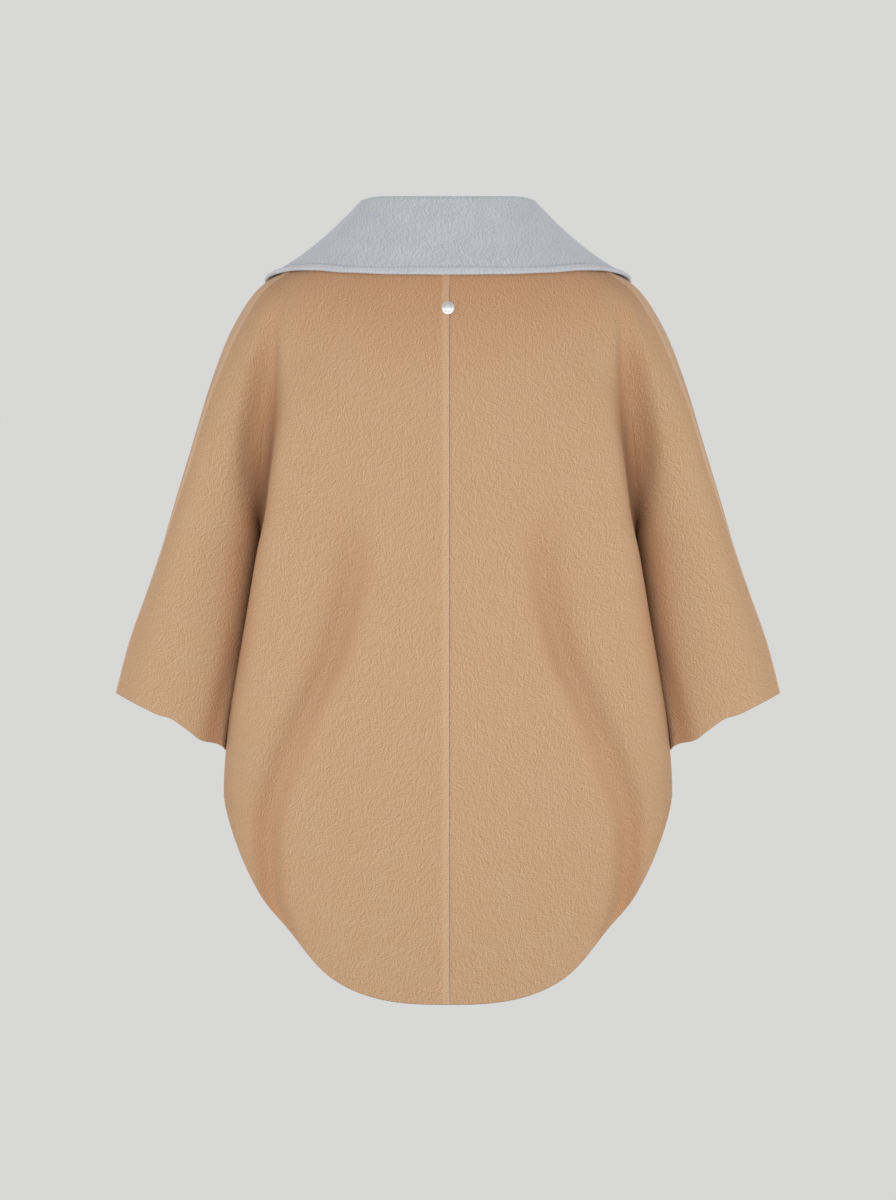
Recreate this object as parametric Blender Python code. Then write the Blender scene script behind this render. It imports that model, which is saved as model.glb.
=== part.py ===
"""Cocoon pea coat with the sleeves cut in one with the body, filled out and hollow.

Every cloth piece is a wall with the real thickness of double-faced wool, and neighbouring
pieces lie SEAM_GAP apart. Sizes are millimetres; MM turns them into metres where a mesh is made.
The origin is the middle of the neck base. +Z is up, the back of the coat faces +Y, its lapped
front faces -Y and +X is the wearer's left.

The coat's outer face is one surface with two parameters. A ring number runs down it, from the
neck seam to past the hem, and a station number runs round half of it, from the centre back over
the arm to the centre front. The panels and the collar are all cut from that surface.
"""

import math
from enum import IntEnum

import bmesh
import bpy
import numpy as np
from mathutils import Vector

MM = 0.001

# ---- cloth and seams -----------------------------------------------------------------------
CLOTH = 2.6                 # thickness of the double-faced wool
SEAM_GAP = 0.3              # clear space between two pieces at a seam
REST_GAP = 0.5              # clear space under a piece that lies on another
LAP = CLOTH + REST_GAP      # how far the upper front is lifted where the fronts lap

# ---- hem -----------------------------------------------------------------------------------
HEM_BACK = -815.0           # height of the hem at the centre back
HEM_FRONT = -795.0          # height of the hem at the centre front
HEM_SIDE = -598.0           # height of the hem round the sides
HEM_HALF_WIDTH = 237.5      # distance from the middle where the hem turns level
HEM_POWERS = (2.86, 1.257)  # powers of the hem's rounded curve, across and down
NOTCH_X, NOTCH_HALF_WIDTH, NOTCH_RISE = 169.4, 29.3, 10.5  # where the long fold lifts the hem


class Station(IntEnum):
    """Places round half the coat, and the numbers that surface() takes for them."""

    CENTRE_BACK = 0
    BLADE = 1
    BACK_EDGE = 2
    BACK_SIDE = 3
    SLEEVE_BACK = 4
    OVERARM = 5
    SLEEVE_FRONT = 6
    FRONT_SIDE = 7
    FRONT_EDGE = 8
    CHEST = 9
    CENTRE_FRONT = 10


# ---- rings ---------------------------------------------------------------------------------
# A ring is one turn of cloth round the body. Ring 0 is the neck seam. At ring ARMPIT the sleeves
# part from the body: y_side, half the opening between them, has closed, and is negative below.
ARMPIT = 8
BODY_COLUMNS = (
    "z_back", "z_front", "z_side", "y_back", "y_front", "x_blade", "x_edge", "y_edge", "x_side", "y_side",
)
BODY_RINGS = (
    (0.0, -52.0, 5.0, 66.0, -92.0, 34.0, 60.0, 48.0, 76.0, 33.0),
    (-38.0, -82.0, -14.0, 94.0, -105.0, 56.0, 88.0, 69.0, 106.0, 51.0),
    (-78.0, -112.0, -36.0, 108.0, -115.0, 74.0, 118.0, 79.0, 138.0, 61.0),
    (-118.0, -145.0, -74.0, 117.0, -122.0, 80.0, 150.0, 86.0, 170.0, 71.0),
    (-160.0, -180.0, -128.0, 123.0, -127.0, 80.0, 171.0, 88.0, 188.0, 76.0),
    (-205.0, -218.0, -182.0, 127.0, -131.0, 80.0, 179.0, 89.0, 194.0, 69.0),
    (-255.0, -262.0, -240.0, 129.0, -133.0, 80.0, 187.0, 88.0, 199.0, 54.0),
    (-305.0, -308.0, -296.0, 131.0, -134.0, 80.0, 194.0, 87.0, 201.0, 30.0),
    (-350.0, -352.0, -330.0, 132.0, -135.0, 80.0, 202.0, 84.0, 198.0, 0.0),
    (-410.0, -410.0, -405.0, 133.0, -135.0, 80.0, 214.0, 78.0, 193.0, -30.0),
    (-470.0, -470.0, -470.0, 134.0, -134.0, 80.0, 225.0, 70.0, 200.0, -30.0),
    (-530.0, -530.0, -530.0, 134.0, -133.0, 80.0, 234.0, 58.0, 213.0, -30.0),
    (-590.0, -590.0, -590.0, 133.0, -131.0, 80.0, 238.0, 42.0, 231.0, -30.0),
    (-650.0, -650.0, -650.0, 130.0, -127.0, 80.0, 238.0, 32.0, 235.0, -30.0),
    (-720.0, -720.0, -720.0, 124.0, -120.0, 80.0, 234.0, 25.0, 231.0, -30.0),
    (-830.0, -830.0, -830.0, 110.0, -106.0, 80.0, 224.0, 20.0, 221.0, -30.0),
)
SLEEVE_COLUMNS = ("z_under", "x_under", "x_crest", "y_crest", "z_over", "x_over")
SLEEVE_RINGS = (
    (5.0, 76.0, 85.0, 17.0, 6.0, 88.0),
    (-14.0, 106.0, 118.0, 28.0, -11.0, 122.0),
    (-36.0, 138.0, 152.0, 37.0, -29.0, 158.0),
    (-74.0, 170.0, 189.0, 49.0, -53.0, 198.5),
    (-128.0, 188.0, 211.0, 64.0, -98.0, 229.5),
    (-182.0, 194.0, 225.0, 76.0, -157.0, 252.5),
    (-240.0, 199.0, 239.0, 84.0, -220.0, 271.0),
    (-296.0, 201.0, 252.0, 87.0, -282.0, 290.0),
    (-330.0, 198.0, 263.0, 87.0, -335.0, 305.5),
    (-405.0, 205.0, 272.0, 86.0, -385.0, 322.5),
    (-472.0, 213.0, 281.0, 84.0, -432.0, 339.0),
    (-549.0, 221.0, 290.0, 82.0, -486.0, 353.5),
)
HEM_RING = len(BODY_RINGS) - 1      # below the hem everywhere
CUFF_RING = len(SLEEVE_RINGS) - 1
BLADE_FALL, EDGE_FALL = 0.2, 0.75   # share of a ring's slope reached at the blade and the edge
FRONT_TUCK = 2.0                    # how much nearer the middle the front edge lies
BULGE = (1.0, 1.15, 1.1, 1.35, 1.3)  # squareness of each stretch from the back to the overarm
BULGE_AT_NECK = 0.15                # share of it that the rings near the neck have
CREST_TILT = 0.35                   # how far a lower sleeve's back face still leans outward
EDGE_TURN_RINGS = (3.0, 6.0)        # rings over which the body edge turns under
SPLIT_RINGS = (4.5, ARMPIT)         # rings over which the trough sharpens into the slit

# ---- the largest folds ---------------------------------------------------------------------
# A fold is a soft valley down a body panel: where its floor lies at each height, how wide and
# how deep it is.
FOLD_COLUMNS = ("z", "x", "half_width", "depth")
BACK_FOLD = (
    (-285.0, 96.0, 27.0, 0.0),
    (-355.0, 102.0, 27.0, 5.0),
    (-440.0, 119.0, 26.0, 9.0),
    (-504.0, 148.0, 24.0, 9.0),
    (-567.0, 174.0, 20.0, 8.0),
    (-631.0, 190.0, 17.0, 9.0),
    (-694.0, 187.0, 15.0, 10.0),
    (-745.0, 166.0, 14.0, 8.0),
)
FRONT_FOLD = (
    (-300.0, 128.0, 26.0, 0.0),
    (-380.0, 133.0, 26.0, 5.0),
    (-470.0, 150.0, 24.0, 8.0),
    (-560.0, 172.0, 20.0, 8.0),
    (-640.0, 188.0, 17.0, 8.0),
    (-720.0, 178.0, 15.0, 7.0),
)

# ---- panels --------------------------------------------------------------------------------
BODY_STEPS = {Station.BLADE: 3, Station.BACK_EDGE: 4, Station.BACK_SIDE: 3}  # columns up to each
SLEEVE_STEPS = 6
UPPER_ROWS, BODY_ROWS, SLEEVE_ROWS = 11, 10, 4   # rows above the armpit, then below it
SEAM_LEAD = (0.45, 0.12)    # stations the overarm seam lies behind the overarm, shoulder and cuff
SEAM_LEAD_RINGS = (3.0, ARMPIT)
LAP_STATIONS = (8.0, 8.9)   # stations over which the upper front rises onto the lower one
BISECTIONS = 40

# ---- collar --------------------------------------------------------------------------------
# One row for each station of the neck seam: how high the roll stands above the seam, how far it
# leans out, how low the outer edge hangs and how far from straight down the fall starts.
COLLAR_COLUMNS = ("stand", "lean", "z_edge", "splay")
COLLAR_ROWS = (
    (41.0, 3.0, -42.0, 14.0),
    (40.0, 3.0, -42.0, 16.0),
    (37.0, 1.0, -41.0, 26.0),
    (36.0, -2.0, -39.0, 38.0),
    (35.5, -4.0, -38.0, 44.0),
    (35.0, -5.0, -44.0, 46.0),
    (30.0, -5.0, -62.0, 44.0),
    (24.0, -4.0, -85.0, 38.0),
    (22.0, -3.0, -112.0, 28.0),
    (22.0, -2.0, -130.0, 18.0),
    (22.0, -2.0, -136.0, 14.0),
)
COLLAR_END = 9.92           # the station where each front end of the collar stops
ROLL_RADIUS = 4.0           # of the cloth's middle where the collar turns over
EDGE_LIFT = 4.2             # of the cloth's middle above the coat at the collar's outer edge
STAND_STEPS, ROLL_STEPS, FALL_STEPS = 2, 3, 5

# ---- buttons and stud ----------------------------------------------------------------------
BUTTON_RADIUS, BUTTON_THICKNESS, BUTTON_RIM = 14.0, 4.0, 2.6
BUTTON_DISH = 1.2           # depth of the face inside the rim
BUTTON_EDGE = 1.0           # size of the bevels round the button
HOLE_RADIUS, HOLE_OFFSET, HOLES = 1.3, 2.9, 4
BUTTON_X, BUTTON_HEIGHTS = 52.0, (-205.0, -335.0)
STUD_RADIUS, STUD_HEIGHT, STUD_Z = 7.0, 3.2, -78.5
STUD_WALL = 0.8             # height of the stud's side below its dome

MATERIALS = {               # colour, roughness, metallic
    "camel_wool": ((0.50, 0.33, 0.20), 0.95, 0.0),
    "blue_grey_wool": ((0.46, 0.50, 0.54), 0.95, 0.0),
    "brown_horn": ((0.16, 0.10, 0.06), 0.45, 0.0),
    "brushed_silver": ((0.62, 0.62, 0.60), 0.35, 1.0),
}
SMOOTH_ANGLE = math.radians(40.0)


def table(columns, rows):
    """Turns rows of numbers into one list for each named column."""
    return {name: [row[i] for row in rows] for i, name in enumerate(columns)}


BODY, SLEEVE = table(BODY_COLUMNS, BODY_RINGS), table(SLEEVE_COLUMNS, SLEEVE_RINGS)
COLLAR = table(COLLAR_COLUMNS, COLLAR_ROWS)


# ---- curves --------------------------------------------------------------------------------
def hermite(p0, t0, p1, t1, t):
    """A smooth curve from p0 to p1 that leaves along t0 and arrives along t1."""
    return (
        (1 + 2 * t) * (1 - t) ** 2 * p0 + t * (1 - t) ** 2 * t0
        + t * t * (3 - 2 * t) * p1 - t * t * (1 - t) * t1
    )


def monotone(values, at):
    """A smooth curve through values at 0, 1, 2 and so on that never overshoots them."""
    values = np.asarray(values, float)
    steps = np.diff(values)
    slopes = np.zeros(len(values))
    same_way = steps[:-1] * steps[1:] > 0.0
    total = np.where(same_way, steps[:-1] + steps[1:], 1.0)
    slopes[1:-1] = np.where(same_way, 2.0 * steps[:-1] * steps[1:] / total, 0.0)
    slopes[0], slopes[-1] = steps[0], steps[-1]
    at = np.clip(np.asarray(at, float), 0.0, len(values) - 1.0)
    k = np.minimum(at.astype(int), len(values) - 2)
    return hermite(values[k], slopes[k], values[k + 1], slopes[k + 1], at - k)


def smoothstep(span, x):
    """Rises smoothly from 0 to 1 over the span."""
    t = np.clip((np.asarray(x, float) - span[0]) / (span[1] - span[0]), 0.0, 1.0)
    return t * t * (3.0 - 2.0 * t)


def unit(vectors):
    """The same directions with length 1."""
    return vectors / np.maximum(np.linalg.norm(vectors, axis=-1, keepdims=True), 1e-9)


# ---- the coat's outer face -----------------------------------------------------------------
def station_points(v, strip):
    """Where the eleven stations lie on the rings v, as an array (station, ring, xyz)."""
    body = {name: monotone(column, v) for name, column in BODY.items()}
    sleeve = {name: monotone(column, v) for name, column in SLEEVE.items()}
    half_open = np.maximum(body["y_side"], 0.0)
    if strip == "body":
        x_side, z_side = body["x_side"], body["z_side"]
    else:
        x_side, z_side = sleeve["x_under"], sleeve["z_under"]
    zero = np.zeros_like(half_open)

    def face(z_middle, y_middle, tuck):
        depth = y_middle / body["y_back"]
        x_edge, y_edge = body["x_edge"] - tuck, depth * body["y_edge"]
        roundness = np.sqrt(1.0 - (body["x_blade"] / x_edge) ** 2)
        y_blade = y_edge + roundness * (y_middle - y_edge)
        return [
            (zero, y_middle, z_middle),
            (body["x_blade"], y_blade, z_middle + BLADE_FALL * (z_side - z_middle)),
            (x_edge, y_edge, z_middle + EDGE_FALL * (z_side - z_middle)),
            (x_side, depth * half_open, z_side),
            (sleeve["x_crest"], depth * sleeve["y_crest"], 0.5 * (sleeve["z_over"] + z_side)),
        ]

    back = face(body["z_back"], body["y_back"], zero)
    front = face(body["z_front"], body["y_front"], FRONT_TUCK + zero)
    overarm = [(sleeve["x_over"], zero, sleeve["z_over"])]
    return np.array([np.stack(point, -1) for point in back + overarm + front[::-1]])


def station_directions(p, v, strip):
    """Which way the ring runs through each station point."""
    turn = smoothstep(EDGE_TURN_RINGS, v)[:, None]
    split = smoothstep(SPLIT_RINGS, v)[:, None]
    forward = np.array([0.0, -1.0, 0.0])
    into_slit = forward if strip == "body" else -forward
    d = np.zeros_like(p)
    d[Station.CENTRE_BACK], d[Station.CENTRE_FRONT] = (1.0, 0.0, 0.0), (-1.0, 0.0, 0.0)
    blades = ((Station.BLADE, Station.CENTRE_BACK, Station.BACK_EDGE, 1.0),
              (Station.CHEST, Station.CENTRE_FRONT, Station.FRONT_EDGE, -1.0))
    for k, middle, edge, way in blades:
        along = p[k, :, 0] / p[edge, :, 0]
        slope = np.ones_like(p[k])
        slope[:, 1] = along / np.sqrt(1.0 - along**2)
        d[k] = way * unit((p[edge] - p[middle]) * slope)
    for k in (Station.BACK_EDGE, Station.FRONT_EDGE):
        d[k] = unit((1.0 - turn) * unit(p[k + 1] - p[k - 1]) + turn * forward)
    for k in (Station.BACK_SIDE, Station.FRONT_SIDE):
        d[k] = unit((1.0 - split) * unit(p[k + 1] - p[k - 1]) + split * into_slit)
    for k in (Station.SLEEVE_BACK, Station.SLEEVE_FRONT):
        level = np.ones_like(p[k])
        level[:, 1] = 1.0 - (1.0 - CREST_TILT) * turn[:, 0]
        d[k] = unit((p[k + 1] - p[k - 1]) * level)
    d[Station.OVERARM] = unit(p[Station.SLEEVE_FRONT] - p[Station.SLEEVE_BACK])
    return d


def surface(s, v, strip):
    """Points of the coat's outer face at stations s of rings v, on the body or sleeve strip."""
    s, v = np.broadcast_arrays(np.asarray(s, float), np.asarray(v, float))
    shape, s, v = s.shape, s.ravel(), v.ravel()
    p = station_points(v, strip)
    d = station_directions(p, v, strip)
    k = np.minimum(s.astype(int), Station.CENTRE_FRONT - 1)
    row = np.arange(len(s))
    start, end = p[k, row], p[k + 1, row]
    squareness = np.array(BULGE + BULGE[::-1])[k] - 1.0
    share = BULGE_AT_NECK + (1.0 - BULGE_AT_NECK) * smoothstep(EDGE_TURN_RINGS, v)
    reach = np.linalg.norm(end - start, axis=1, keepdims=True) * (1.0 + squareness * share)[:, None]
    out = hermite(start, reach * d[k, row], end, reach * d[k + 1, row], (s - k)[:, None])
    return out.reshape(shape + (3,))


def outward(s, v, strip, step=0.01):
    """Unit normals of the coat's outer face."""
    s, v = np.broadcast_arrays(np.asarray(s, float), np.asarray(v, float))
    last = HEM_RING if strip == "body" else CUFF_RING
    after, before = np.clip(s + step, 0, Station.CENTRE_FRONT), np.clip(s - step, 0, Station.CENTRE_FRONT)
    across = surface(after, v, strip) - surface(before, v, strip)
    down = surface(s, np.clip(v + step, 0, last), strip) - surface(s, np.clip(v - step, 0, last), strip)
    return unit(np.cross(across, down))


def fold_depth(points, fold):
    """How far each point is pushed in by a fold."""
    column = table(FOLD_COLUMNS, fold)
    at = np.interp(-points[..., 2], [-z for z in column["z"]], range(len(fold)))
    x, half_width, depth = (monotone(column[name], at) for name in FOLD_COLUMNS[1:])
    return depth * np.exp(-(((points[..., 0] - x) / half_width) ** 2))


def coat(s, v, strip):
    """Points of the outer face with the largest folds pressed in."""
    points = surface(s, v, strip)
    if strip == "sleeve":
        return points
    on_back = np.broadcast_to(np.asarray(s, float), points.shape[:-1]) < Station.OVERARM
    depth = np.where(on_back, fold_depth(points, BACK_FOLD), fold_depth(points, FRONT_FOLD))
    return points - outward(s, v, strip) * depth[..., None]


def hem_height(s, x, middle):
    """Height of the rounded hem, from its height in the middle to level at the sides."""
    at_side = (s >= Station.BACK_EDGE) & (s <= Station.FRONT_EDGE)
    across = np.where(at_side, 1.0, np.clip(x / HEM_HALF_WIDTH, 0.0, 1.0)) ** HEM_POWERS[0]
    notch = NOTCH_RISE * np.exp(-(((x - NOTCH_X) / NOTCH_HALF_WIDTH) ** 2))
    return HEM_SIDE + (middle - HEM_SIDE) * (1.0 - across) ** (1.0 / HEM_POWERS[1]) + notch


def crossing(is_above, low, high):
    """The ring numbers where is_above stops holding, found by halving."""
    for _ in range(BISECTIONS):
        middle = 0.5 * (low + high)
        above = is_above(middle)
        low, high = np.where(above, middle, low), np.where(above, high, middle)
    return 0.5 * (low + high)


def ring_at_hem(s, middle):
    """The ring number where the hem crosses each station of the body."""

    def is_above(v):
        points = surface(s, v, "body")
        return points[:, 2] > hem_height(s, points[:, 0], middle)

    return crossing(is_above, np.full_like(s, float(ARMPIT)), np.full_like(s, float(HEM_RING)))


def on_either_strip(function, s, v):
    """A surface function at stations that lie partly on the body and partly on the sleeve."""
    on_body = (s <= Station.BACK_SIDE) | (s >= Station.FRONT_SIDE)
    return np.where(on_body[:, None], function(s, v, "body"), function(s, v, "sleeve"))


def ring_at_height(s, z):
    """The ring number above the armpit where each station comes down to a height."""

    def is_above(v):
        return on_either_strip(surface, s, v)[:, 2] > z

    return crossing(is_above, np.zeros_like(s), np.full_like(s, float(ARMPIT)))


def seam_station(v):
    """The station of the shoulder and overarm seam on the rings v."""
    return Station.OVERARM - SEAM_LEAD[0] + (SEAM_LEAD[0] - SEAM_LEAD[1]) * smoothstep(SEAM_LEAD_RINGS, v)


# ---- panels --------------------------------------------------------------------------------
def body_stations(face):
    """Stations of the body strip's columns; a front's run on past the centre front to its edge."""
    steps = [np.linspace(end - 1, end, count + 1)[:-1] for end, count in BODY_STEPS.items()]
    half = np.append(np.concatenate(steps), float(Station.BACK_SIDE))
    if face == "back":
        return half
    past_middle = half[1 : BODY_STEPS[Station.BLADE] + 1]
    return np.concatenate([Station.CENTRE_FRONT - half[::-1], Station.CENTRE_FRONT + past_middle])


def panel_grids(face):
    """The body strip and the sleeve strip of a half panel, each as (stations, points by row)."""
    upper = np.linspace(0.0, ARMPIT, UPPER_ROWS + 1)
    stations = body_stations(face)
    s = np.minimum(stations, 2 * Station.CENTRE_FRONT - stations)
    hem = ring_at_hem(s, HEM_BACK if face == "back" else HEM_FRONT)
    down = np.linspace(0.0, 1.0, BODY_ROWS + 1)[1:, None]
    v = np.concatenate([np.repeat(upper[:, None], len(s), 1), ARMPIT + down * (hem - ARMPIT)])
    body = coat(np.broadcast_to(s, v.shape), v, "body")
    body[:, stations > Station.CENTRE_FRONT, 0] *= -1.0
    v = np.concatenate([upper, np.linspace(ARMPIT, CUFF_RING, SLEEVE_ROWS + 1)[1:]])[:, None]
    seam = seam_station(v)
    start, end = (Station.BACK_SIDE, seam) if face == "back" else (seam, Station.FRONT_SIDE)
    across = start + (end - start) * np.linspace(0.0, 1.0, SLEEVE_STEPS + 1)
    return (stations, body), (across[0], coat(across, v, "sleeve"))


class Net:
    """A panel as a net of points on the coat's outer face, with how each point is moved.

    shifts draw the points at a seam back from it, and lifts raise the upper front where the
    fronts lap. side is +1 for the wearer's left half and -1 for the right.
    """

    def __init__(self, face, side):
        self.face, self.side = face, side
        (self.body_s, body), (self.sleeve_s, sleeve) = panel_grids(face)
        self.body, self.sleeve = body * (side, 1.0, 1.0), sleeve * (side, 1.0, 1.0)
        self.points, self.shifts, self.lifts, self.triangles = [], [], [], []
        back = face == "back"
        slit, under, overarm, inward = (-1, 0, -1, -1) if back else (0, -1, 0, 1)
        self.body_index = self.add_points(self.body, {})
        last = self.sleeve.shape[1] - 1
        shared = {(row, under % (last + 1)): self.body_index[row, slit] for row in range(UPPER_ROWS + 1)}
        self.sleeve_index = self.add_points(self.sleeve, shared)
        self.add_triangles(self.body_index, self.body_s >= Station.CENTRE_FRONT)
        self.add_triangles(self.sleeve_index, np.zeros(last + 1, bool))
        below = UPPER_ROWS + 1
        self.open_seam(self.body, self.body_index, slit, slit + inward, below)
        self.open_seam(self.sleeve, self.sleeve_index, under, under - inward, below)
        self.open_seam(self.sleeve, self.sleeve_index, overarm, overarm + inward, 0)
        if back:
            self.open_seam(self.body, self.body_index, 0, 1, 0)
        armpit = self.body_index[UPPER_ROWS, slit]
        self.shifts[armpit] = np.array([0.0, SEAM_GAP / 2 if back else -SEAM_GAP / 2, 0.0])
        if not back and side < 0:
            for column, s in enumerate(self.body_s):
                for index in self.body_index[:, column]:
                    self.lifts[index] = float(LAP * smoothstep(LAP_STATIONS, s))

    def add_points(self, grid, shared):
        """Adds a grid's points, reusing the indices of those it shares with another grid."""
        index = np.zeros(grid.shape[:2], int)
        for place in np.ndindex(index.shape):
            if place in shared:
                index[place] = shared[place]
                continue
            index[place] = len(self.points)
            self.points.append(grid[place])
            self.shifts.append(np.zeros(3))
            self.lifts.append(0.0)
        return index

    def add_triangles(self, index, past_middle):
        """Two triangles to a cell; past the centre front the diagonal turns over with the cloth."""
        for row in range(index.shape[0] - 1):
            for column in range(index.shape[1] - 1):
                a, b = index[row, column : column + 2]
                d, c = index[row + 1, column : column + 2]
                pair = [(a, b, d), (b, c, d)] if past_middle[column] else [(a, b, c), (a, c, d)]
                self.triangles += pair if self.side > 0 else [t[::-1] for t in pair]

    def open_seam(self, grid, index, column, neighbour, first_row):
        """Draws a panel's edge back from a seam, square to the seam, by half the gap."""
        last = grid.shape[0] - 1
        for row in range(first_row, last + 1):
            seam = unit(grid[min(row + 1, last), column] - grid[max(row - 1, 0), column])
            away = grid[row, neighbour] - grid[row, column]
            self.shifts[index[row, column]] = unit(away - seam * (away @ seam)) * SEAM_GAP / 2


def shared_normals(nets):
    """Normals at every point of each net, averaged over all the panels that meet there."""
    total = {}

    def key(point):
        return tuple(np.round((point + 0.0137) * 10.0).astype(int))

    for net in nets:
        for triangle in net.triangles:
            a, b, c = (net.points[i] for i in triangle)
            area = np.cross(b - a, c - a)
            for i in triangle:
                place = key(net.points[i])
                total[place] = total.get(place, 0.0) + area
    return [np.array([unit(total[key(point)]) for point in net.points]) for net in nets]


def wall_mesh(name, outer, inner, triangles):
    """A closed wall between two faces that share one set of triangles."""
    points = np.concatenate([outer, inner]) * MM
    count = len(outer)
    edges = {(t[i], t[i - 2]) for t in triangles for i in range(3)}
    bm = bmesh.new()
    verts = [bm.verts.new(point) for point in points]
    for a, b, c in triangles:
        bm.faces.new((verts[a], verts[b], verts[c]))
        bm.faces.new((verts[count + c], verts[count + b], verts[count + a]))
    for a, b in sorted(edge for edge in edges if edge[::-1] not in edges):
        bm.faces.new((verts[b], verts[a], verts[count + a], verts[count + b]))
    mesh = bpy.data.meshes.new(name)
    bm.to_mesh(mesh)
    bm.free()
    return mesh


def build_panels():
    """The four body panels, each with its half of a sleeve cut in one with it."""
    halves = {"back_left": ("back", 1), "back_right": ("back", -1),
              "front_left": ("front", 1), "front_right": ("front", -1)}
    nets = [Net(face, side) for face, side in halves.values()]
    normals = shared_normals(nets)
    for name, net, normal in zip(halves, nets, normals):
        base = np.array(net.points) + np.array(net.shifts)
        lift = np.array(net.lifts)[:, None]
        outer, inner = base + normal * lift, base + normal * (lift - CLOTH)
        add(name, wall_mesh(name, outer, inner, net.triangles), "camel_wool")
    return nets, normals


# ---- collar --------------------------------------------------------------------------------
def neck_seam(nets, normals, side):
    """Stations, points and normals along half the neck seam, from the panels' own top rows."""
    s, points, tilts = [], [], []
    for net, normal in zip(nets, normals):
        if net.side != side:
            continue
        strips = [(net.body_s, net.body_index[0]), (net.sleeve_s, net.sleeve_index[0])]
        for stations, index in strips if net.face == "back" else strips[::-1]:
            lift = np.array(net.lifts)[index][:, None] * normal[index]
            s.append(stations)
            points.append(np.array(net.points)[index] + lift)
            tilts.append(normal[index])
    s, points, tilts = np.concatenate(s), np.concatenate(points), np.concatenate(tilts)
    first = np.append(True, np.diff(s) > 1e-6)
    kept = np.append(s[first & (s < COLLAR_END)], COLLAR_END)
    points, tilts = (
        np.stack([np.interp(kept, s[first], part[first, i]) for i in range(3)], -1) for part in (points, tilts)
    )
    return kept, points * (side, 1.0, 1.0), unit(tilts) * (side, 1.0, 1.0)


def collar_half(s, seam, normal):
    """The middle of the collar's cloth from the centre back to one front end (column, step, xyz)."""
    row = {name: monotone(column, s)[:, None] for name, column in COLLAR.items()}
    up, level = np.array([0.0, 0.0, 1.0]), np.array([1.0, 1.0, 0.0])
    neck = np.zeros_like(s)
    rise = unit(on_either_strip(surface, s, neck) - on_either_strip(surface, s, neck + 0.1))
    out = unit(normal * level)
    foot = seam - normal * CLOTH / 2 + rise * SEAM_GAP
    centre = seam + out * row["lean"] + up * (row["stand"] - ROLL_RADIUS)
    v_edge = ring_at_height(s, row["z_edge"][:, 0])
    lift = EDGE_LIFT + LAP * smoothstep(LAP_STATIONS, s)[:, None]
    edge = on_either_strip(surface, s, v_edge) + on_either_strip(outward, s, v_edge) * lift
    along = unit(on_either_strip(surface, s, v_edge + 0.05) - on_either_strip(surface, s, v_edge - 0.05))
    splay = np.radians(row["splay"])
    stand_top = centre - out * ROLL_RADIUS
    roll_end = centre + (out * np.cos(splay) + up * np.sin(splay)) * ROLL_RADIUS
    leave = out * np.sin(splay) - up * np.cos(splay)
    path = []
    reach = np.linalg.norm(stand_top - foot, axis=1, keepdims=True)
    for t in np.linspace(0.0, 1.0, STAND_STEPS + 1)[:-1]:
        path.append(hermite(foot, rise * reach, stand_top, up * reach, t))
    for t in np.linspace(0.0, 1.0, ROLL_STEPS + 1)[:-1]:
        angle = math.pi * (1.0 - t) + splay * t
        path.append(centre + (out * np.cos(angle) + up * np.sin(angle)) * ROLL_RADIUS)
    reach = np.linalg.norm(edge - roll_end, axis=1, keepdims=True)
    for t in np.linspace(0.0, 1.0, FALL_STEPS + 1):
        path.append(hermite(roll_end, leave * reach, edge, along * reach, t))
    return np.stack(path, 1)


def build_collar(nets, normals):
    """One turned-down collar that stands on the neck seam and lies over the shoulders."""
    mirror = np.array([-1.0, 1.0, 1.0])
    seams = [neck_seam(nets, normals, side) for side in (-1, 1)]
    right, left = (collar_half(*seam) for seam in seams)
    middle = np.concatenate([right[:0:-1] * mirror, left])
    normal = unit(np.cross(np.gradient(middle, axis=0), np.gradient(middle, axis=1)))
    normal[:, 0] = np.concatenate([seams[0][2][:0:-1] * mirror, seams[1][2]])
    columns, steps = middle.shape[:2]
    index = np.arange(columns * steps).reshape(columns, steps)
    triangles = []
    for i, j in np.ndindex(columns - 1, steps - 1):
        a, b, c, d = index[i, j], index[i + 1, j], index[i + 1, j + 1], index[i, j + 1]
        triangles += [(a, b, c), (a, c, d)]
    outer, inner = ((middle + normal * half).reshape(-1, 3) for half in (CLOTH / 2, -CLOTH / 2))
    add("collar", wall_mesh("collar", outer, inner, triangles), "blue_grey_wool")


# ---- buttons and stud ----------------------------------------------------------------------
def turned(profile, segments, name):
    """A round piece from a profile of (radius, height) points that starts and ends on the axis."""
    bm = bmesh.new()
    verts = [bm.verts.new((radius * MM, 0.0, height * MM)) for radius, height in profile]
    edges = [bm.edges.new(pair) for pair in zip(verts, verts[1:])]
    bmesh.ops.spin(
        bm, geom=verts + edges, cent=(0, 0, 0), axis=(0, 0, 1), angle=math.tau, steps=segments, use_merge=True
    )
    bmesh.ops.remove_doubles(bm, verts=bm.verts, dist=0.00001)
    bmesh.ops.recalc_face_normals(bm, faces=bm.faces)
    mesh = bpy.data.meshes.new(name)
    bm.to_mesh(mesh)
    bm.free()
    return mesh


def stand_on(obj, s, v, lift, side):
    """Sets a round piece on the coat's outer face, its foot a height above it."""
    here = (np.array([float(min(s, 2 * Station.CENTRE_FRONT - s))]), np.array([float(v)]), "body")
    flip = np.array([side if s <= Station.CENTRE_FRONT else -side, 1.0, 1.0])
    point, normal = surface(*here)[0] * flip, outward(*here)[0] * flip
    obj.location = (point + normal * lift) * MM
    obj.rotation_mode = "QUATERNION"
    obj.rotation_quaternion = Vector(normal).to_track_quat("Z", "Y")


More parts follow.
